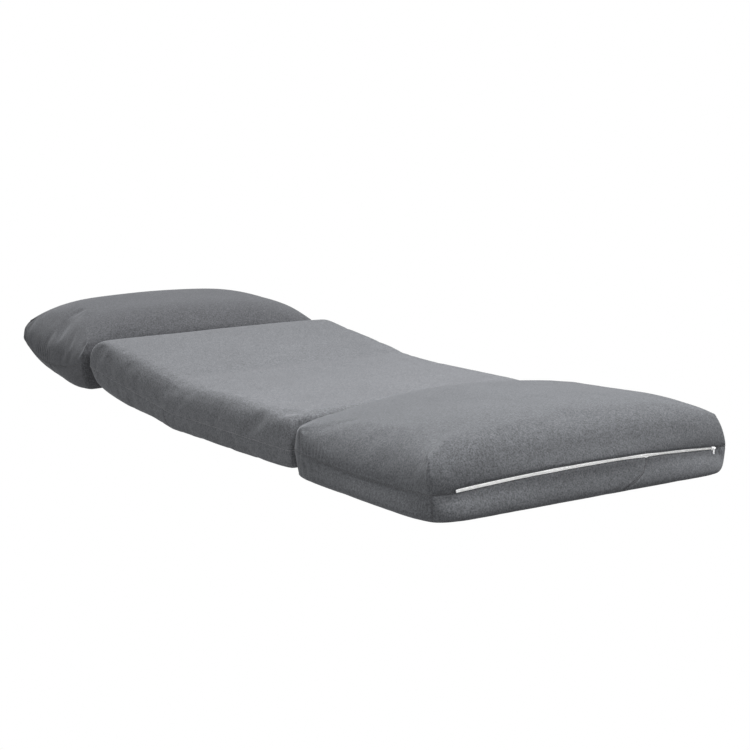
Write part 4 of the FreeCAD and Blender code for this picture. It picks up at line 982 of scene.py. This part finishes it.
# ------------------------------------------------------------------ zip coil
def zip_coil():
    """Two interlocked nylon coils along the arc: a fine flattened helix on each side of the line."""
    pitch = 1.7 / 3028.3 * 180 / math.pi
    a0, a1 = ZIP_FROM + 0.1, ZIP_TO - 0.1
    turns = int((a1 - a0) / pitch)
    obs = []
    rings = []
    for side in (-1, 1):
        n = turns * 10
        t = np.linspace(0, turns, n)
        ph = 2 * math.pi * t
        deg = a0 + t * pitch + (0.5 * pitch if side > 0 else 0)
        dz = side * (0.75 + 0.85 * np.cos(ph))
        dy = -0.5 + 0.42 * np.sin(ph)
        pts = zip_point(deg, dy, dz)
        ob = cord_of("coil", pts, 0.00036, 5)
        obs.append(ob)
    verts = np.vstack([coords(o) for o in obs])
    faces, base = [], 0
    for o in obs:
        faces += [tuple(v + base for v in f.vertices) for f in o.data.polygons]
        base += len(o.data.vertices)
        bpy.data.objects.remove(o)
    return new_object("zip_coils", verts, faces)


coil = zip_coil()
give(coil, COIL_WHITE)


# ------------------------------------------------------------------ fabric hinges
def hinge_flap(name, line, half, place, drop, thick=0.3):
    """A strip of cover fabric in a joint: a profile line (y, z) swept across, lower at both ends."""
    line = np.array(line, float)
    t = np.concatenate([[0], np.cumsum(np.linalg.norm(np.diff(line, axis=0), axis=1))])
    u = np.linspace(0, t[-1], 41)
    line = np.stack([np.interp(u, t, line[:, 0]), np.interp(u, t, line[:, 1])], 1)
    for _ in range(4):
        line[1:-1] = 0.25 * line[:-2] + 0.5 * line[1:-1] + 0.25 * line[2:]
    d = np.gradient(line, axis=0)
    d /= np.linalg.norm(d, axis=1)[:, None]
    nrm = np.stack([-d[:, 1], d[:, 0]], 1)
    low = line[:, 1].min()
    rings = []
    for x in np.linspace(-half, half, 141):
        q = line.copy()
        q[:, 1] = low + (line[:, 1] - low) * (1 - drop * (abs(x) / half) ** 5)
        loop = np.vstack([q + nrm * thick, (q - nrm * thick)[::-1]])
        rings.append(np.column_stack([np.full(len(loop), x), loop]))
    rings = np.array(rings)
    ob = loft(name, place(rings.reshape(-1, 3)).reshape(rings.shape))
    # darker suede on the strip: painted shade in the joint
    give(ob, SUEDE_JOINT_PAINTED_SHADE)
    return ob


foot_flap = hinge_flap("foot_hinge_strip", [(463.4, 58), (463.4, 96), (463.5, 99.6), (464.0, 100.4), (464.5, 99.6), (464.6, 96), (464.6, 58)],
                       288.0, to_frame, 0.4, 0.2)
head_flap = hinge_flap("head_hinge_strip", [(1294, 84), (1303, 92), (1312, 95.5), (1326, 95.5), (1340, 92), (1356, 84)],
                       272.0, lambda p: to_frame(raise_back(p)), 0.3, 0.5)

# ------------------------------------------------------------------ materials of the carried-over pieces
for name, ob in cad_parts.items():
    if name.startswith("zip_tape"):
        mat = TAPE_WHITE_PAINTED_GLOW
    elif name.startswith("zip_teeth"):
        mat = COIL_WHITE
    elif name.startswith("zip_end"):
        mat = STOP_GREY
    elif name.startswith("zip"):
        mat = ENAMEL_WHITE
    elif name.endswith("frame") or "cross_tube" in name:
        mat = FRAME_BLACK
    elif "pin" in name or "rivet" in name or "spring" in name:
        mat = BRIGHT
    elif "hinge_housing" in name or "sector" in name or name.startswith("pawl"):
        mat = STEEL
    else:
        mat = SUEDE_FOOT_PAINTED_SHADE
    give(ob, mat)

# ------------------------------------------------------------------ what moves with what
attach(foot.ob, "foot")
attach(head.ob, "head")
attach(coil, "foot")
for ob in sewn["foot"]:
    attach(ob, "foot")
for ob in sewn["head"]:
    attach(ob, "head")
for ob in [foot.ob] + sewn["foot"]:
    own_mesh(ob)

for ob in [slab.ob] + sewn["slab"]:
    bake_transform(ob)
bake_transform(foot_flap)
fold_a, fold_b = to_frame(raise_back(np.array([[0, 1306.0, 95.0], [0, 1320.0, 95.0]])))
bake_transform(head_flap)

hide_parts("foot_cover_top", "foot_cover_base", "foot_foam_core", "foot_fill_pad")
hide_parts("head_cover_top", "head_cover_base", "head_foam_core", "head_fill_pad")
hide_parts("seat_cover_top", "seat_cover_base", "seat_foam_upper", "seat_foam_lower", "bend_cover", "bend_foam",
            "back_cover_top", "back_cover_base", "back_foam_upper", "back_foam_lower")
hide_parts("zip_teeth")
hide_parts("foot_hinge_flap")
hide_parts("head_hinge_flap")

# ------------------------------------------------------------------ floor, light, camera
fm, fnt, fb = node_material("floor_pale")
fb.inputs["Base Color"].default_value = (0.17, 0.17, 0.17, 1)
fb.inputs["Roughness"].default_value = 0.95
fb.inputs["Specular IOR Level"].default_value = 0.0
fb.inputs["Emission Color"].default_value = (1, 1, 1, 1)
fb.inputs["Emission Strength"].default_value = 0.38
seen = fnt.nodes.new("ShaderNodeEmission")
seen.inputs[0].default_value = (1, 1, 1, 1)
seen.inputs[1].default_value = 1.0
floor_way = fnt.nodes.new("ShaderNodeLightPath")
floor_mix = fnt.nodes.new("ShaderNodeMixShader")
fnt.links.new(floor_way.outputs["Is Camera Ray"], floor_mix.inputs[0])
fnt.links.new(fb.outputs[0], floor_mix.inputs[1])
fnt.links.new(seen.outputs[0], floor_mix.inputs[2])
fnt.links.new(floor_mix.outputs[0], [n for n in fnt.nodes if n.type == "OUTPUT_MATERIAL"][0].inputs[0])
floor = new_object("floor", [(-14, -14, 0), (14, -14, 0), (14, 16, 0), (-14, 16, 0)], [(0, 1, 2, 3)], False)
floor.location.z = -0.0005
give(floor, fm)

world = bpy.data.worlds.new("studio")
scene.world = world
world.use_nodes = True
wn = world.node_tree
bg = wn.nodes["Background"]
bg.inputs[0].default_value = (0.95, 0.97, 1.0, 1)
bg.inputs[1].default_value = 0.30
bg_seen = wn.nodes.new("ShaderNodeBackground")
bg_seen.inputs[0].default_value = (1, 1, 1, 1)
bg_seen.inputs[1].default_value = 1.0
way = wn.nodes.new("ShaderNodeLightPath")
mix = wn.nodes.new("ShaderNodeMixShader")
wn.links.new(way.outputs["Is Camera Ray"], mix.inputs[0])
wn.links.new(bg.outputs[0], mix.inputs[1])
wn.links.new(bg_seen.outputs[0], mix.inputs[2])
wn.links.new(mix.outputs[0], wn.nodes["World Output"].inputs[0])

sun_data = bpy.data.lights.new("overhead", "SUN")
sun_data.energy = 5.2
sun_data.angle = math.radians(26)
sun = bpy.data.objects.new("overhead", sun_data)
sun.rotation_euler = (math.radians(-4), math.radians(11), 0)
scene.collection.objects.link(sun)


def area(name, place, aim, sx, sy, power):
    l = bpy.data.lights.new(name, "AREA")
    l.shape = "RECTANGLE"
    l.size, l.size_y, l.energy = sx, sy, power
    o = bpy.data.objects.new(name, l)
    o.location = place
    o.rotation_euler = (Vector(aim) - Vector(place)).to_track_quat("-Z", "Y").to_euler()
    scene.collection.objects.link(o)
    return o


area("key", (0.5, -1.0, 1.6), (0.1, -0.5, 0.0), 1.2, 1.2, 45)
area("side_fill", (-2.4, -1.4, 1.0), (-0.3, -0.4, 0.05), 2.0, 1.2, 38)

cam_data = bpy.data.cameras.new("camera")
cam_data.sensor_width = 36.0
cam_data.sensor_fit = "HORIZONTAL"
cam_data.lens = 1560 / 750 * 36
cam = bpy.data.objects.new("camera", cam_data)
cam.location = (-1.8397, -2.8362, 0.6493)
cam.rotation_euler = (math.radians(90 - 9.2597), 0, math.radians(-35.1826))
scene.collection.objects.link(cam)
scene.camera = cam
scene.view_settings.view_transform = "Standard"
